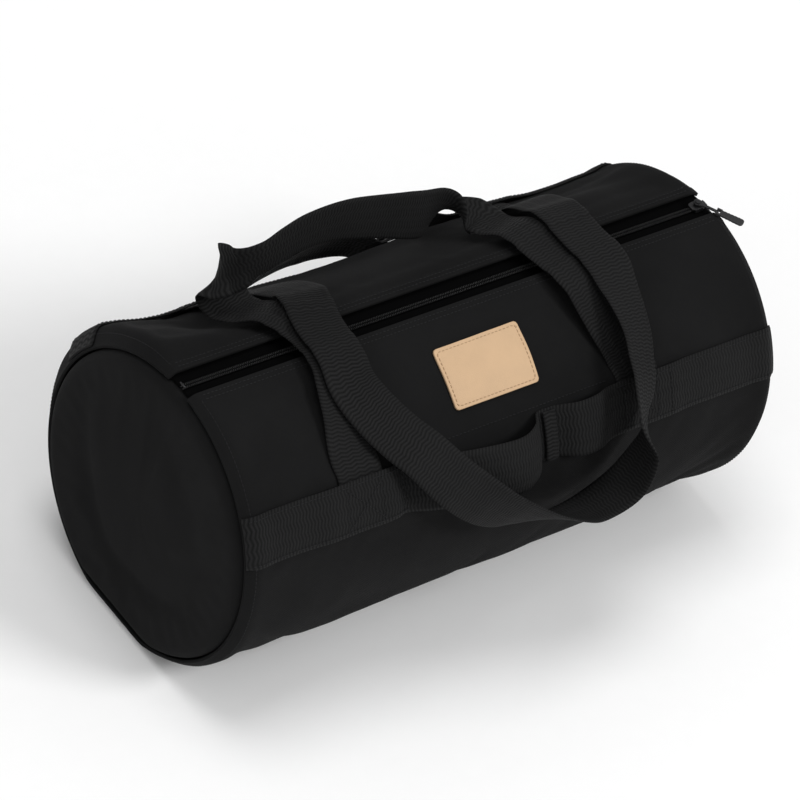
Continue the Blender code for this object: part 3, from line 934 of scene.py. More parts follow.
def webbing_strip(name, stations, material):
    """Webbing along stations, each a middle point and a direction across the strip."""
    settings = bpy.context.scene.bag_webbing
    least = settings.thickness / 2.0 + GAP
    middles = smooth_rows([middle for middle, _ in stations])
    sides = np.array([Vector(side).normalized() for _, side in stations])
    sides = smooth_rows(sides)
    path, cross, along = even_path(middles, sides, settings.rib / 4.0)
    forward = np.gradient(path, axis=0)
    forward /= np.linalg.norm(forward, axis=1, keepdims=True)
    cross -= forward * np.sum(forward * cross, axis=1, keepdims=True)
    cross /= np.linalg.norm(cross, axis=1, keepdims=True)
    share = selvage_steps()
    rows = path[:, None, :] + cross[:, None, :] * share[None, :, None] * settings.width / 2.0
    return ribbed(name, lift_rows(rows, least), along, settings.width, settings.thickness, material)


def selvage_steps():
    """Where the points stand across a strip, from -1 to 1."""
    return np.linspace(-1.0, 1.0, 15)


# x, height of the webbing's middle over the canvas, and droop in degrees
BAND_PROFILE = (
    (-HALF_LENGTH, FLAT, 0.0),
    (-0.210, FLAT, 0.0),
    (-0.178, OVER_LEG, 0.0),
    (-0.150, OVER_LEG, 0.0),
    (-0.122, OVER_LEG, 0.0),
    (-0.108, FLAT, 0.0),
    (-0.085, 0.009, 1.0),
    (-0.045, 0.0165, 3.0),
    (-0.010, 0.0175, 4.0),
    (0.010, 0.0110, 2.5),
    (0.020, FLAT, 0.0),
    (0.036, FLAT, 0.0),
    (0.052, 0.0105, 0.5),
    (0.070, 0.0105, 0.5),
    (0.090, OVER_LEG, 0.0),
    (0.118, OVER_LEG, 0.0),
    (0.146, OVER_LEG, 0.0),
    (0.178, FLAT, 0.0),
    (HALF_LENGTH, FLAT, 0.0),
)


def band_path():
    """The gear webbing's middle line: x, height and droop, close together."""
    path = smooth_rows(BAND_PROFILE)
    path[:, 1] = np.maximum(path[:, 1], FLAT)
    return path


def band_rows(sign):
    """Rows of points across the gear webbing, front (1) or back (-1), and its length so far."""
    settings = bpy.context.scene.bag_webbing
    path = band_path()
    flat = np.stack([path[:, 0], path[:, 1], np.zeros(len(path))], -1)
    even, droop, along = even_path(flat, np.repeat(path[:, 2:3], 3, axis=1), settings.rib / 4.0)
    share = selvage_steps()
    angle = BAND_ANGLE + droop[:, 0:1] - np.degrees(share[None, :] * settings.width / 2.0 / RADIUS)
    x = np.repeat(even[:, 0:1], len(share), axis=1)
    height = np.repeat(even[:, 1:2], len(share), axis=1)
    return on_canvas(x, sign * angle, height), along


# x, angle and height over the canvas at marks up each leg and over the zip
FRONT_LEFT_MARKS = (
    (-0.148, 40.0, 0.0030),
    (-0.144, 30.0, 0.0068),
    (-0.140, 20.0, 0.0105),
    (-0.137, 12.0, 0.0105),
    (-0.137, 0.0, 0.0078),
    (-0.146, -12.0, 0.0098),
    (-0.158, -22.0, 0.0085),
)
FRONT_RIGHT_MARKS = (
    (0.114, 40.0, 0.0030),
    (0.106, 30.0, 0.0068),
    (0.100, 20.0, 0.0105),
    (0.095, 12.0, 0.0105),
    (0.090, 0.0, 0.0078),
    (0.085, -12.0, 0.0098),
    (0.078, -22.0, 0.0085),
)
BACK_LEFT_MARKS = (
    (-0.132, 40.0, 0.0040),
    (-0.118, 30.0, 0.0090),
    (-0.116, 20.0, 0.0130),
    (-0.122, 12.0, 0.0150),
    (-0.130, 0.0, 0.0128),
    (-0.133, -13.0, 0.0155),
)
BACK_RIGHT_MARKS = (
    (0.124, 40.0, 0.0040),
    (0.125, 30.0, 0.0090),
    (0.124, 20.0, 0.0130),
    (0.122, 12.0, 0.0150),
    (0.121, 0.0, 0.0128),
    (0.122, -13.0, 0.0155),
)


def level(x, y, height):
    """A free point at a height over the barrel's axis."""
    return (x, y, AXIS_HEIGHT + height)


FRONT_LOOP = (
    (level(-0.163, 0.064, 0.1225), (1.0, 0.1, 0.1)),
    (level(-0.167, 0.076, 0.1290), (0.8, 0.3, 0.5)),
    (level(-0.170, 0.079, 0.1400), (0.4, 0.1, 0.9)),
    (level(-0.170, 0.071, 0.1510), (0.2, -0.2, 1.0)),
    (level(-0.164, 0.060, 0.1590), (0.1, -0.2, 1.0)),
    (level(-0.152, 0.055, 0.1650), (0.0, -0.1, 1.0)),
    (level(-0.135, 0.056, 0.1690), (0.0, 0.0, 1.0)),
    (level(-0.112, 0.059, 0.1720), (0.0, 0.0, 1.0)),
    (level(-0.075, 0.062, 0.1690), (0.0, 0.0, 1.0)),
    (level(-0.025, 0.063, 0.1570), (0.0, 0.1, 1.0)),
    (level(0.012, 0.066, 0.1450), (0.0, 0.2, 1.0)),
    (level(0.052, 0.079, 0.1270), (-0.7, -0.4, 0.6)),
    (level(0.0735, 0.067, 0.1205), (-1.0, 0.0, 0.0)),
)
BACK_LOOP = (
    (on_barrel(-0.132, 24.0, 0.0145), (0.95, 0.15, 0.2)),
    (on_barrel(-0.120, 36.0, 0.0120), (0.85, 0.3, 0.4)),
    (on_barrel(-0.099, 50.0, 0.0170), (0.75, 0.4, 0.55)),
    (on_barrel(-0.073, 63.0, 0.0235), (0.6, 0.2, 0.75)),
    (on_barrel(-0.034, 75.5, 0.0260), (0.35, -0.25, 0.85)),
    (on_barrel(0.010, 84.0, 0.0260), (0.1, -0.7, 0.7)),
    (on_barrel(0.054, 88.0, 0.0250), (-0.05, -0.95, 0.3)),
    (on_barrel(0.089, 82.0, 0.0270), (-0.1, -0.98, 0.1)),
    (on_barrel(0.101, 71.0, 0.0290), (-0.3, -0.9, 0.05)),
    (on_barrel(0.101, 60.0, 0.0260), (-0.7, -0.7, 0.0)),
    (on_barrel(0.112, 49.0, 0.0200), (-0.85, -0.4, 0.2)),
    (on_barrel(0.120, 38.0, 0.0175), (-0.88, -0.2, 0.35)),
    (on_barrel(0.122, 26.0, 0.0165), (-0.93, -0.1, 0.25)),
)


def leg_stations(foot_x, marks, sign, direction):
    """A leg from under the gear webbing to where its free loop starts."""
    places = [(foot_x, 69.0, FLAT), (foot_x, BAND_ANGLE, FLAT), (foot_x, 50.0, FLAT)] + list(marks)
    side = (direction, 0.0, 0.0)
    return [(on_barrel(x, sign * angle, height), side) for x, angle, height in places]


def whole_handle(left, right, loop, sign):
    """One handle from foot to foot: up its left leg, round its loop, down its right leg."""
    up = leg_stations(-0.148, left, sign, 1.0)
    down = leg_stations(0.118, right, sign, -1.0)
    return up + list(loop) + down[::-1]


# ---------------------------------------------------------------- stitches and coils

def build_stitch_tree():
    """Geometry Nodes: thread stitches at an even pitch along every line of a mesh."""
    tree = bpy.data.node_groups.new("Thread stitches", "GeometryNodeTree")
    face = tree.interface
    face.new_socket(name="Lines", in_out="INPUT", socket_type="NodeSocketGeometry")
    for label, value in (("Pitch", 0.0036), ("Stitch Length", 0.0028), ("Thread Radius", 0.00036)):
        socket = face.new_socket(name=label, in_out="INPUT", socket_type="NodeSocketFloat")
        socket.default_value = value
    face.new_socket(name="Thread", in_out="INPUT", socket_type="NodeSocketMaterial")
    face.new_socket(name="Stitches", in_out="OUTPUT", socket_type="NodeSocketGeometry")
    node = tree.nodes.new
    link = tree.links.new
    start = node("NodeGroupInput")
    end = node("NodeGroupOutput")
    to_curve = node("GeometryNodeMeshToCurve")
    resample = node("GeometryNodeResampleCurve")
    resample.mode = "LENGTH"
    tangent = node("GeometryNodeInputTangent")
    align = node("FunctionNodeAlignRotationToVector")
    align.axis = "Z"
    ball = node("GeometryNodeMeshUVSphere")
    ball.inputs["Segments"].default_value = 6
    ball.inputs["Rings"].default_value = 5
    ball.inputs["Radius"].default_value = 1.0
    size = node("ShaderNodeCombineXYZ")
    half = node("ShaderNodeMath")
    half.operation = "MULTIPLY"
    half.inputs[1].default_value = 0.5
    place = node("GeometryNodeInstanceOnPoints")
    smooth = node("GeometryNodeSetShadeSmooth")
    realize = node("GeometryNodeRealizeInstances")
    paint = node("GeometryNodeSetMaterial")
    link(start.outputs["Lines"], to_curve.inputs["Mesh"])
    link(to_curve.outputs["Curve"], resample.inputs["Curve"])
    link(start.outputs["Pitch"], resample.inputs["Length"])
    link(start.outputs["Stitch Length"], half.inputs[0])
    link(start.outputs["Thread Radius"], size.inputs["X"])
    link(start.outputs["Thread Radius"], size.inputs["Y"])
    link(half.outputs[0], size.inputs["Z"])
    link(tangent.outputs[0], align.inputs["Vector"])
    link(resample.outputs["Curve"], place.inputs["Points"])
    link(ball.outputs["Mesh"], smooth.inputs["Geometry"])
    link(smooth.outputs["Geometry"], place.inputs["Instance"])
    link(align.outputs["Rotation"], place.inputs["Rotation"])
    link(size.outputs["Vector"], place.inputs["Scale"])
    link(place.outputs["Instances"], realize.inputs["Geometry"])
    link(realize.outputs["Geometry"], paint.inputs["Geometry"])
    link(start.outputs["Thread"], paint.inputs["Material"])
    link(paint.outputs["Geometry"], end.inputs["Stitches"])
    return tree


def build_coil_tree():
    """Geometry Nodes: one zip coil, a spiral of nylon wire that runs along X."""
    tree = bpy.data.node_groups.new("Zip coil", "GeometryNodeTree")
    face = tree.interface
    face.new_socket(name="Geometry", in_out="INPUT", socket_type="NodeSocketGeometry")
    sizes = (("Length", 0.5), ("Turns", 300.0), ("Coil Radius", 0.0008), ("Wire Radius", 0.0004))
    for label, value in sizes:
        socket = face.new_socket(name=label, in_out="INPUT", socket_type="NodeSocketFloat")
        socket.default_value = value
    face.new_socket(name="Middle", in_out="INPUT", socket_type="NodeSocketVector")
    face.new_socket(name="Nylon", in_out="INPUT", socket_type="NodeSocketMaterial")
    face.new_socket(name="Coil", in_out="OUTPUT", socket_type="NodeSocketGeometry")
    node = tree.nodes.new
    link = tree.links.new
    start = node("NodeGroupInput")
    end = node("NodeGroupOutput")
    spiral = node("GeometryNodeCurveSpiral")
    spiral.inputs["Resolution"].default_value = 9
    circle = node("GeometryNodeCurvePrimitiveCircle")
    circle.inputs["Resolution"].default_value = 5
    sweep = node("GeometryNodeCurveToMesh")
    sweep.inputs["Fill Caps"].default_value = True
    turn = node("GeometryNodeTransform")
    turn.inputs["Rotation"].default_value = (0.0, math.radians(90.0), 0.0)
    move = node("GeometryNodeTransform")
    smooth = node("GeometryNodeSetShadeSmooth")
    realize = node("GeometryNodeRealizeInstances")
    paint = node("GeometryNodeSetMaterial")
    link(start.outputs["Turns"], spiral.inputs["Rotations"])
    link(start.outputs["Coil Radius"], spiral.inputs["Start Radius"])
    link(start.outputs["Coil Radius"], spiral.inputs["End Radius"])
    link(start.outputs["Length"], spiral.inputs["Height"])
    link(start.outputs["Wire Radius"], circle.inputs["Radius"])
    link(spiral.outputs["Curve"], sweep.inputs["Curve"])
    link(circle.outputs["Curve"], sweep.inputs["Profile Curve"])
    link(sweep.outputs["Mesh"], turn.inputs["Geometry"])
    link(turn.outputs["Geometry"], move.inputs["Geometry"])
    link(start.outputs["Middle"], move.inputs["Translation"])
    link(move.outputs["Geometry"], smooth.inputs["Geometry"])
    link(smooth.outputs["Geometry"], realize.inputs["Geometry"])
    link(realize.outputs["Geometry"], paint.inputs["Geometry"])
    link(start.outputs["Nylon"], paint.inputs["Material"])
    link(paint.outputs["Geometry"], end.inputs["Coil"])
    return tree


def node_inputs(modifier, values):
    """Set a Geometry Nodes modifier's inputs by their labels."""
    for item in modifier.node_group.interface.items_tree:
        if item.in_out == "INPUT" and item.name in values:
            modifier[item.identifier] = values[item.name]


def grown(name, source_mesh, tree, values):
    """A plain mesh piece that a Geometry Nodes tree makes."""
    thing = bpy.data.objects.new(name, source_mesh)
    modifier = thing.modifiers.new(tree.name, "NODES")
    modifier.node_group = tree
    node_inputs(modifier, values)
    bpy.context.scene.collection.objects.link(thing)
    return settle(thing)


def line_mesh(name, lines):
    """A mesh of lines of points."""
    mesh = bpy.data.meshes.new(name)
    points, edges = [], []
    for line in lines:
        start = len(points)
        points += [tuple(point) for point in line]
        edges += [(start + step, start + step + 1) for step in range(len(line) - 1)]
    mesh.from_pydata(points, edges, [])
    return mesh


def stitched(name, lines, thread):
    trim = bpy.context.scene.bag_trim
    tree = bpy.data.node_groups.get("Thread stitches") or build_stitch_tree()
    values = {
        "Pitch": trim.pitch,
        "Stitch Length": trim.stitch,
        "Thread Radius": trim.radius,
        "Thread": thread,
    }
    return grown(name, line_mesh(name + "_lines", lines), tree, values)


def canvas_line(x0, angle0, x1, angle1, height, count=80):
    """A straight line on the unrolled canvas, at a height over it."""
    x = np.linspace(x0, x1, count)
    angle = np.linspace(angle0, angle1, count)
    return on_canvas(x, angle, height)


# ---------------------------------------------------------------- operators

class BagOperator:
    """What every operator of this file shares."""

    bl_options = {"REGISTER", "UNDO"}


class ROPEBAG_OT_stage(BagOperator, bpy.types.Operator):
    """Set the camera, a pale floor and soft studio light"""

    bl_idname = "ropebag.stage"
    bl_label = "Stage"

    def execute(self, context):
        self.place_camera(context.scene)
        self.lay_floor()
        self.hang_lights(context.scene)
        return {"FINISHED"}

    def place_camera(self, scene):
        azimuth = math.radians(CAMERA_AZIMUTH)
        elevation = math.radians(CAMERA_ELEVATION)
        roll = math.radians(CAMERA_ROLL)
        back = Vector(
            (
                math.sin(azimuth) * math.cos(elevation),
                -math.cos(azimuth) * math.cos(elevation),
                math.sin(elevation),
            )
        )
        level_right = Vector((math.cos(azimuth), math.sin(azimuth), 0.0))
        level_up = back.cross(level_right)
        right = level_right * math.cos(roll) + level_up * math.sin(roll)
        up = level_up * math.cos(roll) - level_right * math.sin(roll)
        aim = Vector((0.0, 0.0, AXIS_HEIGHT)) - right * AIM_LEFT + up * AIM_UP
        data = bpy.data.cameras.new("Camera")
        data.sensor_width = 36.0
        data.lens = CAMERA_LENS
        data.clip_end = 60.0
        camera = bpy.data.objects.new("Camera", data)
        scene.collection.objects.link(camera)
        place = Matrix((right, up, back)).transposed().to_4x4()
        place.translation = aim + back * CAMERA_DISTANCE
        camera.matrix_world = place
        scene.camera = camera

    def lay_floor(self):
        builder = bmesh.new()
        bmesh.ops.create_grid(builder, x_segments=8, y_segments=8, size=20.0)
        bmesh.ops.translate(builder, vec=(0.0, 0.0, -0.0005), verts=builder.verts)
        floor = new_piece("studio_floor", builder, finished("Studio floor", floor_finish))

    def hang_lights(self, scene):
        world = bpy.data.worlds.new("Studio")
        world.use_nodes = True
        background = world.node_tree.nodes["Background"]
        background.inputs["Color"].default_value = (1.0, 1.0, 1.0, 1.0)
        background.inputs["Strength"].default_value = 0.46
        scene.world = world
        scene.view_settings.view_transform = "Standard"
        lights = (
            ("Key", (3.6, -5.2, 5.8), 3.0, 330.0),
            ("Overhead", (-0.8, 1.4, 7.6), 4.0, 200.0),
            ("Fill", (-6.6, -1.6, 2.6), 4.0, 70.0),
        )
        for name, place, size, power in lights:
            data = bpy.data.lights.new(name, "AREA")
            data.shape = "DISK"
            data.size = size
            data.energy = power
            light = bpy.data.objects.new(name, data)
            light.location = place
            direction = Vector((0.0, 0.0, AXIS_HEIGHT)) - Vector(place)
            light.rotation_euler = direction.to_track_quat("-Z", "Y").to_euler()
            scene.collection.objects.link(light)


class ROPEBAG_OT_barrel(BagOperator, bpy.types.Operator):
    """Sew the barrel's canvas panel, let it settle and give it thickness"""

    bl_idname = "ropebag.barrel"
    bl_label = "Canvas Barrel"

    def execute(self, context):
        settings = context.scene.bag_canvas
        canvas = finished("Black canvas", canvas_finish)
        barrel, loose = barrel_sheet("canvas_barrel", canvas)
        relax(barrel, loose, settings.frames, settings.slack, settings.pressure, settings.travel)
        points = mesh_points(barrel.data)
        points[:, 2] = np.maximum(points[:, 2], 0.0)
        place_points(barrel.data, points)
        add_subdivision(barrel)
        add_thickness(barrel, FABRIC)
        settle(barrel)
        attach(barrel, "root", "canvas", "barrel_panel")
        measure_canvas(barrel)
        return {"FINISHED"}


class ROPEBAG_OT_ends(BagOperator, bpy.types.Operator):
    """Sew the round end panels and the bindings inside their seams"""

    bl_idname = "ropebag.ends"
    bl_label = "End Panels"

    def execute(self, context):
        canvas = finished("Black canvas", canvas_finish)
        webbing = finished("Black webbing", webbing_finish)
        for name, sign in (("left", -1.0), ("right", 1.0)):
            panel = self.panel(context, "canvas_end_" + name, sign, canvas)
            attach(panel, "root", "canvas", "end_panel_" + name)
            binding = self.binding("end_binding_" + name, sign, webbing)
            attach(binding, "root", "webbing", "seam_binding_" + name)
        return {"FINISHED"}

    def section(self, radius, angle):
        """A (y, z) point on the flattened round section."""
        turn = math.radians(angle)
        low = RADIUS - radius
        return -radius * math.sin(turn), max(AXIS_HEIGHT + radius * math.cos(turn), low)

    def panel(self, context, name, sign, material):
        """A seam allowance turned in, a rolled rim and a face with soft dents."""
        settings = context.scene.bag_canvas
        rim = RADIUS - FABRIC - 0.0038
        outline = [(rim, -0.0125), (rim, -0.008), (rim, -0.0035), (rim - 0.0002, -0.0010)]
        outline += [(rim - 0.0018, 0.0016), (rim - 0.0050, 0.0036), (rim - 0.0095, FACE_BULGE)]
        rings = 17
        last = outline[-1][0]
        outline += [(last * (1.0 - ring / rings), FACE_BULGE) for ring in range(1, rings)]
        builder = bmesh.new()
        sides = 96
        grid, loose, uv_rows = [], [], []
        for radius, out in outline:
            row, uvs = [], []
            for side in range(sides):
                angle = 360.0 * side / sides
                y, z = self.section(max(radius, last), angle)
                y *= min(1.0, radius / last)
                z = AXIS_HEIGHT + (z - AXIS_HEIGHT) * min(1.0, radius / last)
                x = sign * (HALF_LENGTH + out + self.dent(sign, y, z, radius, last))
                row.append(builder.verts.new((x, y, z)))
                uvs.append((y, z))
                free = float(1.0 - smoothstep(last - 0.012, last, radius))
                loose.append(free if radius < last else 0.0)
            grid.append(row + row[:1])
            uv_rows.append(uvs + uvs[:1])
        grid_faces(builder, grid, uv_rows)
        centre_x = sign * (HALF_LENGTH + FACE_BULGE + self.dent(sign, 0.0, AXIS_HEIGHT, 0.0, last))
        centre = builder.verts.new((centre_x, 0.0, AXIS_HEIGHT))
        loose.append(1.0)
        layer = builder.loops.layers.uv.verify()
        for side in range(sides):
            face = builder.faces.new((grid[-1][side], grid[-1][side + 1], centre))
            for loop in face.loops:
                loop[layer].uv = (loop.vert.co.y, loop.vert.co.z)
        bmesh.ops.recalc_face_normals(builder, faces=builder.faces)
        builder.faces.ensure_lookup_table()
        if builder.faces[-1].normal.x * sign < 0.0:
            bmesh.ops.reverse_faces(builder, faces=builder.faces)
        panel = new_piece(name, builder, material)
        relax(panel, loose, settings.frames, settings.slack * 0.8, settings.pressure * 0.5, 0.003)
        add_subdivision(panel)
        add_thickness(panel, FABRIC)
        return settle(panel)

    def dent(self, sign, y, z, radius, rim):
        """How far the face stands out from flat at a point."""
        free = float(1.0 - smoothstep(rim * 0.55, rim, radius))
        wave_in = 0.0030 * noise.noise(Vector((sign * 5.0, y * 16.0, z * 13.0)))
        fold = 0.0035 * bell((y * 0.8 - (z - AXIS_HEIGHT) * 0.6 + 0.062) / 0.016)
        fold *= float(smoothstep(-0.02, 0.04, z - AXIS_HEIGHT))
        turn = math.atan2(y, z - AXIS_HEIGHT)
        pucker = 0.0005 * math.sin(turn * 38.0 + 3.0 * noise.noise(Vector((turn, sign, 0.0))))
        pucker *= float(smoothstep(rim * 0.72, rim * 0.97, radius)) * (1.0 if radius < rim else 0.0)
        return (wave_in - 0.0012) * free - fold * free + pucker

    def binding(self, name, sign, material):
        """A ribbed tape round the inside of the end seam."""
        radius = RADIUS - FABRIC - BINDING_DEPTH
        count = 480
        angles = np.linspace(0.0, 360.0, count)
        middle = sign * (HALF_LENGTH - BINDING_INSET)
        share = selvage_steps()
        rows = np.zeros((count, len(share), 3))
        for index, angle in enumerate(angles):
            y, z = self.section(radius, angle)
            rows[index, :, 0] = middle + share * BINDING_WIDTH / 2.0
            rows[index, :, 1] = y
            rows[index, :, 2] = z
        along = np.radians(angles) * radius
        return ribbed(name, rows, along, BINDING_WIDTH, BINDING_THICKNESS, material)


class ROPEBAG_OT_zip(BagOperator, bpy.types.Operator):
    """Lay the zip's tapes and wind its coils"""

    bl_idname = "ropebag.zip"
    bl_label = "Zip Tapes and Coils"

    def execute(self, context):
        settings = context.scene.bag_zip
        tape = finished("Zip tape", tape_finish)
        nylon = finished("Coil nylon", nylon_finish)
        tree = build_coil_tree()
        for side in ("front", "back"):
            attach(self.tape(side, tape), "root", "zip_tape", "zip_tape_" + side)
            low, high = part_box("zip_coil_" + side)
            length = high.x - low.x
            middle = (low + high) / 2.0
            reach = (high.z - low.z) / 2.0 - settings.wire
            values = {
                "Length": length - 2.0 * settings.wire,
                "Turns": length / settings.pitch,
                "Coil Radius": reach,
                "Wire Radius": settings.wire,
                "Middle": (low.x + settings.wire, middle.y, middle.z),
                "Nylon": nylon,
            }
            coil = grown("nylon_coil_" + side, bpy.data.meshes.new("coil_start"), tree, values)
            attach(coil, "root", "zip_coil", "zip_coil_" + side)
        return {"FINISHED"}

    def tape(self, side, material):
        """A woven tape with a corded edge next to the coil."""
        low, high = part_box("zip_tape_" + side)
        steps = 260
        share = selvage_steps()
        places = np.linspace(low.x, high.x, steps)
        rows = np.zeros((steps, len(share), 3))
        rows[..., 0] = places[:, None]
        rows[..., 1] = (low.y + high.y) / 2.0 + share[None, :] * (high.y - low.y) / 2.0
        rows[..., 2] = (low.z + high.z) / 2.0
        along = places - places[0]
        width = high.y - low.y
        return webbing_mesh(
            "woven_tape_" + side, rows, along, width, high.z - low.z, 0.0040, 0.04, material
        )


class ROPEBAG_OT_pull(BagOperator, bpy.types.Operator):
    """Make the stops, the slider, its link and its moulded grip"""

    bl_idname = "ropebag.pull"
    bl_label = "Slider and Pull"

    def execute(self, context):
        enamel = finished("Black enamel", enamel_finish)
        moulded = finished("Moulded grip", moulded_finish)
        for side in ("left", "right"):
            stop = self.stop("end_stop_" + side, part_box("zip_stop_" + side), enamel)
            attach(stop, "root", "hardware", "zip_stop_" + side)
        attach(self.slider(enamel), "slider", "hardware", "zip_slider")
        pivot = Vector(JOINTS["pull_swing"]["pos_m"])
        pin = Vector(JOINTS["pull_lift"]["pos_m"])
        heading = (pin - pivot).normalized()
        attach(self.link(pivot, pin, heading, enamel), "pull_link", "hardware", "zip_pull_link")
        attach(self.grip(pin, heading, moulded), "pull_grip", "grip", "zip_pull_grip")
        return {"FINISHED"}

    def block(self, builder, low, high):
        made = bmesh.ops.create_cube(builder, size=1.0)["verts"]
        bmesh.ops.scale(builder, vec=Vector(high) - Vector(low), verts=made)
        bmesh.ops.translate(builder, vec=(Vector(low) + Vector(high)) / 2.0, verts=made)

    def post(self, builder, radius, low, high, centre):
        made = bmesh.ops.create_cone(
            builder, cap_ends=True, segments=20, radius1=radius, radius2=radius, depth=high - low
        )["verts"]
        bmesh.ops.translate(builder, vec=(centre[0], centre[1], (low + high) / 2.0), verts=made)

    def outline(self, builder, points, low, high):
        """A flat plate from an outline, low to high."""
        rim = [builder.verts.new((x, y, low)) for x, y in points]
        face = builder.faces.new(rim)
        made = bmesh.ops.extrude_face_region(builder, geom=[face])["geom"]
        top = [item for item in made if isinstance(item, bmesh.types.BMVert)]
        bmesh.ops.translate(builder, vec=(0.0, 0.0, high - low), verts=top)

    def close(self, name, builder, material, rounding):
        bmesh.ops.recalc_face_normals(builder, faces=builder.faces)
        piece = new_piece(name, builder, material)
        add_rounding(piece, rounding)
        return settle(piece)

    def stop(self, name, box, material):
        """A rounded block standing for the crimped wire staple over both coils."""
        low, high = box
        builder = bmesh.new()
        self.block(builder, low, high)
        return self.close(name, builder, material, 0.0004)

    def slider(self, material):
        """A plate with a broad shoulder and a narrow tail, side walls and a capped stud."""
        low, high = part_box("zip_slider")
        x = (low.x + high.x) / 2.0
        half = (high.x - low.x) / 2.0
        wide = (high.y - low.y) / 2.0
        plate_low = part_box("zip_coil_front")[1].z + GAP
        plate_high = plate_low + 0.0015
        shape = ((-1.0, 0.62), (-0.8, 0.86), (-0.4, 1.0), (0.5, 1.0), (0.85, 0.82), (1.0, 0.45))
        points = [(x + u * half, v * wide) for u, v in shape]
        points += [(x + u * half, -v * wide) for u, v in reversed(shape)]
        builder = bmesh.new()
        self.outline(builder, points, plate_low, plate_high)
        for sign in (-1.0, 1.0):
            near, far = sorted((sign * (wide - 0.0013), sign * wide))
            self.block(builder, (x - half * 0.6, near, low.z), (x + half * 0.6, far, plate_low + 0.0004))
        self.post(builder, 0.0015, plate_high - 0.0004, high.z - 0.0004, (x, 0.0))
        self.post(builder, 0.0024, high.z - 0.0008, high.z, (x, 0.0))
        return self.close("enamel_slider", builder, material, 0.00025)

    def link(self, pivot, pin, heading, material):
        """An eye round the stud, an arm and the pin that the grip turns on."""
        low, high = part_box("zip_pull_link")
        across = Vector((-heading.y, heading.x, 0.0))
        builder = bmesh.new()
        sides = 28
        rings = []
        for radius, height in ((0.0035, low.z), (0.0035, high.z), (0.0019, high.z), (0.0019, low.z)):
            ring = []
            for step in range(sides):
                turn = math.tau * step / sides
                point = pivot + Vector((math.cos(turn), math.sin(turn), 0.0)) * radius
                ring.append(builder.verts.new((point.x, point.y, height)))
            rings.append(ring)
        bridge(builder, rings + rings[:1])
        reach = (pin - pivot).length
        shape = ((0.0028, 0.0019), (0.0055, 0.0013), (reach - 0.0012, 0.0012), (reach + 0.0007, 0.0009))
        points = [pivot + heading * u + across * v for u, v in shape]
        points += [pivot + heading * u - across * v for u, v in reversed(shape)]
        self.outline(builder, [(p.x, p.y) for p in points], low.z + 0.0001, high.z - 0.0001)
        turn = across.to_track_quat("Z", "Y").to_matrix()
        made = bmesh.ops.create_cone(
            builder, cap_ends=True, segments=14, radius1=0.0007, radius2=0.0007, depth=0.0064
        )["verts"]
        bmesh.ops.rotate(builder, matrix=turn, verts=made)
        bmesh.ops.translate(builder, vec=pin, verts=made)
        return self.close("enamel_link", builder, material, 0.00018)

    def grip(self, pin, heading, material):
        """A moulded tongue with finger ribs, and two cheeks that hold the pin."""
        across = Vector((-heading.y, heading.x, 0.0))
        place = Matrix((heading, across, Vector((0.0, 0.0, 1.0)))).transposed().to_4x4()
        place.translation = pin
        builder = bmesh.new()
        start, length = 0.0024, 0.0222
        steps, sides = 64, 20
        rows = []
        for step in range(steps + 1):
            share = step / steps
            along = start - 0.0004 + share * (length - start)
            end = math.sqrt(max(0.0, 1.0 - max(0.0, (share - 0.86) / 0.14) ** 2))
            wide = 0.0040 * (0.80 + 0.20 * share) * (0.30 + 0.70 * end)
            ribs = 0.12 * math.sin(math.tau * share * 7.0) * float(0.15 < share < 0.86)
            thick = 0.00125 * (0.88 + ribs) * (0.35 + 0.65 * end)
            row = []
            for side in range(sides):
                turn = math.tau * side / sides
                c, s = math.cos(turn), math.sin(turn)
                y = wide * math.copysign(abs(c) ** 0.45, c)
                z = thick * math.copysign(abs(s) ** 0.45, s)
                row.append(builder.verts.new((along, y, z)))
            rows.append(row)
        bridge(builder, rows)
        builder.faces.new(rows[0])
        builder.faces.new(rows[-1])
        for sign in (-1.0, 1.0):
            near, far = sorted((sign * 0.0019, sign * 0.0036))
            self.block(builder, (-0.0015, near, -0.0011), (start + 0.0004, far, 0.0011))
        bmesh.ops.transform(builder, matrix=place, verts=builder.verts)
        return self.close("moulded_grip", builder, material, 0.0002)


class ROPEBAG_OT_webbing(BagOperator, bpy.types.Operator):
    """Sew the gear webbing along both sides, with its slack loops and pleats"""

    bl_idname = "ropebag.webbing"
    bl_label = "Gear Webbing"

    def execute(self, context):
        settings = context.scene.bag_webbing
        webbing = finished("Black webbing", webbing_finish)
        for name, sign in (("front", 1.0), ("back", -1.0)):
            rows, along = band_rows(sign)
            size = (settings.width, settings.thickness)
            band = ribbed("ribbed_band_" + name, rows, along, *size, webbing)
            attach(band, "root", "webbing", name + "_gear_webbing")
            pleat = self.pleat("folded_pleat_" + name, sign, webbing)
            attach(pleat, "root", "webbing")
        return {"FINISHED"}

    def pleat(self, name, sign, material):
        """A narrow fold of the same webbing, standing across the band between two loops."""
        settings = bpy.context.scene.bag_webbing
        height = FLAT + settings.thickness + 2.0 * GAP
        angles = np.linspace(BAND_ANGLE - PLEAT_HALF, BAND_ANGLE + PLEAT_HALF, 56)
        share = selvage_steps()
        x = PLEAT_X + np.repeat(share[None, :], len(angles), axis=0) * PLEAT_WIDTH / 2.0
        crown = 0.0012 * (1.0 - share[None, :] ** 2)
        rows = on_canvas(x, sign * angles[:, None], height + crown)
        along = np.radians(angles - angles[0]) * RADIUS
        return ribbed(name, rows, along, PLEAT_WIDTH, settings.thickness, material)


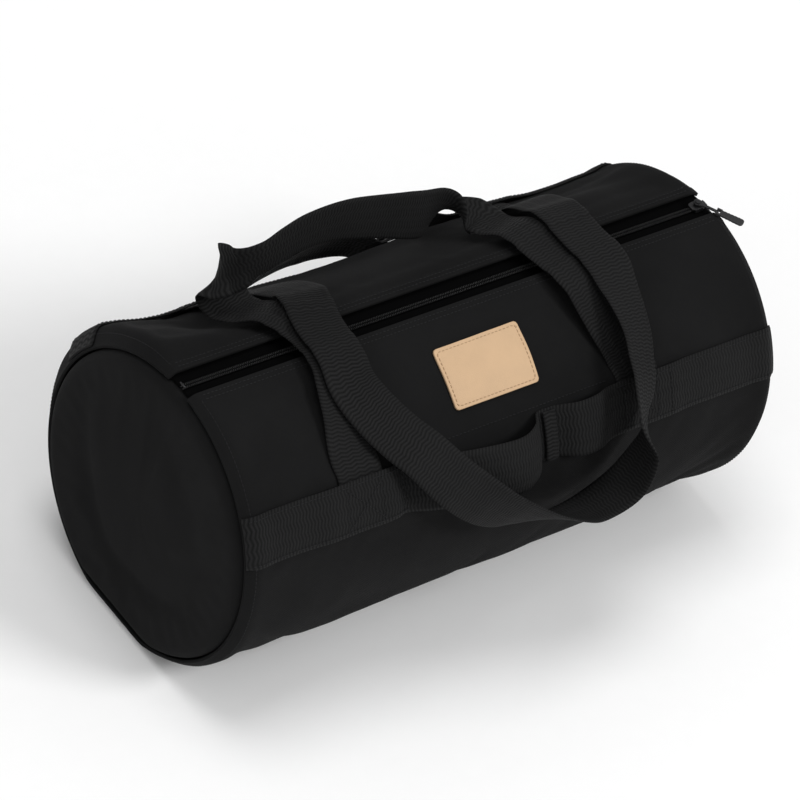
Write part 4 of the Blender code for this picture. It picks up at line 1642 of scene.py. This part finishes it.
class ROPEBAG_OT_handles(BagOperator, bpy.types.Operator):
    """Run each handle as one length of webbing from foot to foot"""

    bl_idname = "ropebag.handles"
    bl_label = "Handles"

    def execute(self, context):
        webbing = finished("Black webbing", webbing_finish)
        front = whole_handle(FRONT_LEFT_MARKS, FRONT_RIGHT_MARKS, FRONT_LOOP, 1.0)
        back = whole_handle(BACK_LEFT_MARKS, BACK_RIGHT_MARKS, BACK_LOOP, -1.0)
        self.handle("front", front, (0.0, 1.0, 0.3), 0.075, 0.095, webbing)
        self.handle("back", back, (0.0, -1.0, -0.5), -0.050, -0.020, webbing)
        return {"FINISHED"}

    def handle(self, name, stations, direction, first, last, material):
        piece = webbing_strip("webbing_handle_" + name, stations, material)
        nodes = [name + "_handle", name + "_handle_leg_left", name + "_handle_leg_right"]
        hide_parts(*nodes)
        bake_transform(piece)


class ROPEBAG_OT_patch(BagOperator, bpy.types.Operator):
    """Cut the blank leather patch and sew it down"""

    bl_idname = "ropebag.patch"
    bl_label = "Leather Patch"

    middle_x = -0.008
    middle_angle = 30.5
    length = 0.080
    height = 0.050
    thickness = 0.0016

    def execute(self, context):
        leather = finished("Tan leather", leather_finish)
        attach(self.leather(context, leather), "root", "leather", "leather_patch")
        colour = scaled(context.scene.bag_trim.leather, 0.72)
        thread = thread_finish("Tan thread", colour)
        line = self.on_patch(self.rounded(self.length - 0.006, self.height - 0.006, 0.0015, 90), 0.0)
        stitches = stitched("patch_stitches", [line], thread)
        attach(stitches, "root", "leather")
        return {"FINISHED"}

    def rounded(self, length, height, corner, count):
        """Points round a rectangle with round corners, evenly spaced and closed."""
        points = []
        for cx, cy, start in ((1, 1, 0), (-1, 1, 90), (-1, -1, 180), (1, -1, 270)):
            for step in range(7):
                turn = math.radians(start + 15.0 * step)
                x = cx * (length / 2.0 - corner) + corner * math.cos(turn)
                y = cy * (height / 2.0 - corner) + corner * math.sin(turn)
                points.append((x, y))
        points = np.array(points + points[:1])
        reach = length_along(points)
        wanted = np.linspace(0.0, reach[-1], count + 1)
        return np.stack([np.interp(wanted, reach, points[:, axis]) for axis in range(2)], -1)

    def on_patch(self, flat, lift):
        """Flat places on the patch, on its outer face."""
        angle = self.middle_angle - np.degrees(flat[:, 1] / RADIUS)
        return on_canvas(self.middle_x + flat[:, 0], angle, GAP + self.thickness + lift)

    def leather(self, context, material):
        """Rings from the middle to a rolled edge, laid on the settled canvas."""
        corner = context.scene.bag_trim.corner
        count = 120
        builder = bmesh.new()
        shares = [0.0, 0.12, 0.25, 0.4, 0.55, 0.7, 0.82, 0.90, 0.935, 0.96, 0.985, 1.0]
        rings, marks = [], []
        outer = self.rounded(self.length, self.height, corner, count)[:-1]
        for share in shares[1:]:
            groove = 0.00025 * bell((share - 0.93) / 0.015)
            drop = 0.0005 * max(0.0, (share - 0.985) / 0.015)
            points = self.on_patch(outer * share, -groove - drop)
            rings.append([builder.verts.new(point) for point in points])
            marks += [1.0 if share > 0.99 else 0.0] * count
        under = self.on_patch(outer, -self.thickness)
        rings.append([builder.verts.new(point) for point in under])
        marks += [1.0] * count
        centre = builder.verts.new(self.on_patch(np.zeros((1, 2)), 0.0)[0])
        beneath = builder.verts.new(self.on_patch(np.zeros((1, 2)), -self.thickness)[0])
        marks += [0.0, 1.0]
        bridge(builder, rings)
        for step in range(count):
            after = (step + 1) % count
            builder.faces.new((centre, rings[0][after], rings[0][step]))
            builder.faces.new((beneath, rings[-1][step], rings[-1][after]))
        bmesh.ops.recalc_face_normals(builder, faces=builder.faces)
        patch = new_piece("tan_patch", builder, material)
        layer = patch.data.attributes.new("edge", "FLOAT", "POINT")
        layer.data.foreach_set("value", marks)
        return patch


class ROPEBAG_OT_stitching(BagOperator, bpy.types.Operator):
    """Sew every seam and hem of the canvas and the gear webbing"""

    bl_idname = "ropebag.stitching"
    bl_label = "Stitching"

    def execute(self, context):
        thread = thread_finish("Black thread", context.scene.bag_trim.thread)
        attach(stitched("canvas_stitches", self.canvas_lines(), thread), "root", "canvas")
        attach(stitched("band_stitches", self.band_lines(), thread), "root", "webbing")
        return {"FINISHED"}

    def canvas_lines(self):
        lift = 0.00012
        end = HALF_LENGTH - 0.012
        lines = []
        for sign in (-1.0, 1.0):
            for arc in (0.0035, 0.0075):
                angle = sign * (SLOT_ANGLE + math.degrees(arc / RADIUS))
                lines.append(canvas_line(-end, angle, end, angle, lift, 300))
            edge = sign * (BAND_ANGLE - 10.8)
            lines.append(canvas_line(-0.106, edge, 0.088, edge, lift, 140))
            for x in (-HALF_LENGTH + SEAM_WIDTH, HALF_LENGTH - SEAM_WIDTH):
                lines.append(canvas_line(x, sign * (SLOT_ANGLE + 4.0), x, sign * 145.0, lift, 220))
        return lines

    def on_band(self, path, sign, x, offset):
        """Points on the gear webbing's outer face, from arrays of x and of offset across it."""
        rise = bpy.context.scene.bag_webbing.thickness / 2.0 + 0.0002
        height = np.interp(x, path[:, 0], path[:, 1])
        angle = BAND_ANGLE - np.degrees(np.asarray(offset) / RADIUS)
        return on_canvas(x, sign * angle, height + rise)

    def band_lines(self):
        """Edge rows, tacks and crossed boxes, where the band is sewn down."""
        path = band_path()
        lines = []
        for sign in (-1.0, 1.0):
            for start, end in ((-0.250, -0.110), (0.096, 0.250)):
                x = np.linspace(start, end, 120)
                for offset in (-0.0168, 0.0168):
                    lines.append(self.on_band(path, sign, x, np.full(len(x), offset)))
            offsets = np.linspace(-0.017, 0.017, 30)
            for x in (-0.112, -0.109, 0.0205, 0.0365, 0.148):
                lines.append(self.on_band(path, sign, np.full(len(offsets), x), offsets))
            for middle in (-0.148, 0.118):
                low, high = middle - 0.016, middle + 0.016
                x = np.linspace(low, high, 30)
                slope = np.linspace(-0.0145, 0.0145, 30)
                lines.append(self.on_band(path, sign, x, slope))
                lines.append(self.on_band(path, sign, x, -slope))
                lines.append(self.on_band(path, sign, np.full(30, low), slope))
                lines.append(self.on_band(path, sign, np.full(30, high), slope))
        return lines


class ROPEBAG_PT_sidebar(bpy.types.Panel):
    """The bag's settings and steps"""

    bl_label = "Rope Storage Bag"
    bl_idname = "ROPEBAG_PT_sidebar"
    bl_space_type = "VIEW_3D"
    bl_region_type = "UI"
    bl_category = "Rope Bag"

    def draw(self, context):
        layout = self.layout
        for group in SETTINGS:
            settings = getattr(context.scene, group)
            box = layout.box()
            for name in settings.__annotations__:
                box.prop(settings, name)
        for operator in STEPS:
            layout.operator(operator.bl_idname)


SETTINGS = {
    "bag_canvas": BagCanvasSettings,
    "bag_webbing": BagWebbingSettings,
    "bag_zip": BagZipSettings,
    "bag_trim": BagTrimSettings,
}
STEPS = (
    ROPEBAG_OT_stage,
    ROPEBAG_OT_barrel,
    ROPEBAG_OT_ends,
    ROPEBAG_OT_zip,
    ROPEBAG_OT_pull,
    ROPEBAG_OT_webbing,
    ROPEBAG_OT_handles,
    ROPEBAG_OT_patch,
    ROPEBAG_OT_stitching,
)


def register():
    for name, settings in SETTINGS.items():
        bpy.utils.register_class(settings)
        setattr(bpy.types.Scene, name, PointerProperty(type=settings))
    for step in STEPS:
        bpy.utils.register_class(step)
    bpy.utils.register_class(ROPEBAG_PT_sidebar)


def unregister():
    bpy.utils.unregister_class(ROPEBAG_PT_sidebar)
    for step in reversed(STEPS):
        bpy.utils.unregister_class(step)
    for name, settings in SETTINGS.items():
        delattr(bpy.types.Scene, name)
        bpy.utils.unregister_class(settings)


def main():
    register()
    for thing in list(bpy.context.scene.objects):
        if thing.type in {"CAMERA", "LIGHT"}:
            bpy.data.objects.remove(thing)
    bpy.ops.ropebag.stage()
    bpy.ops.ropebag.barrel()
    bpy.ops.ropebag.ends()
    bpy.ops.ropebag.zip()
    bpy.ops.ropebag.pull()
    bpy.ops.ropebag.webbing()
    bpy.ops.ropebag.handles()
    bpy.ops.ropebag.patch()
    bpy.ops.ropebag.stitching()


if __name__ == "__main__":
    main()
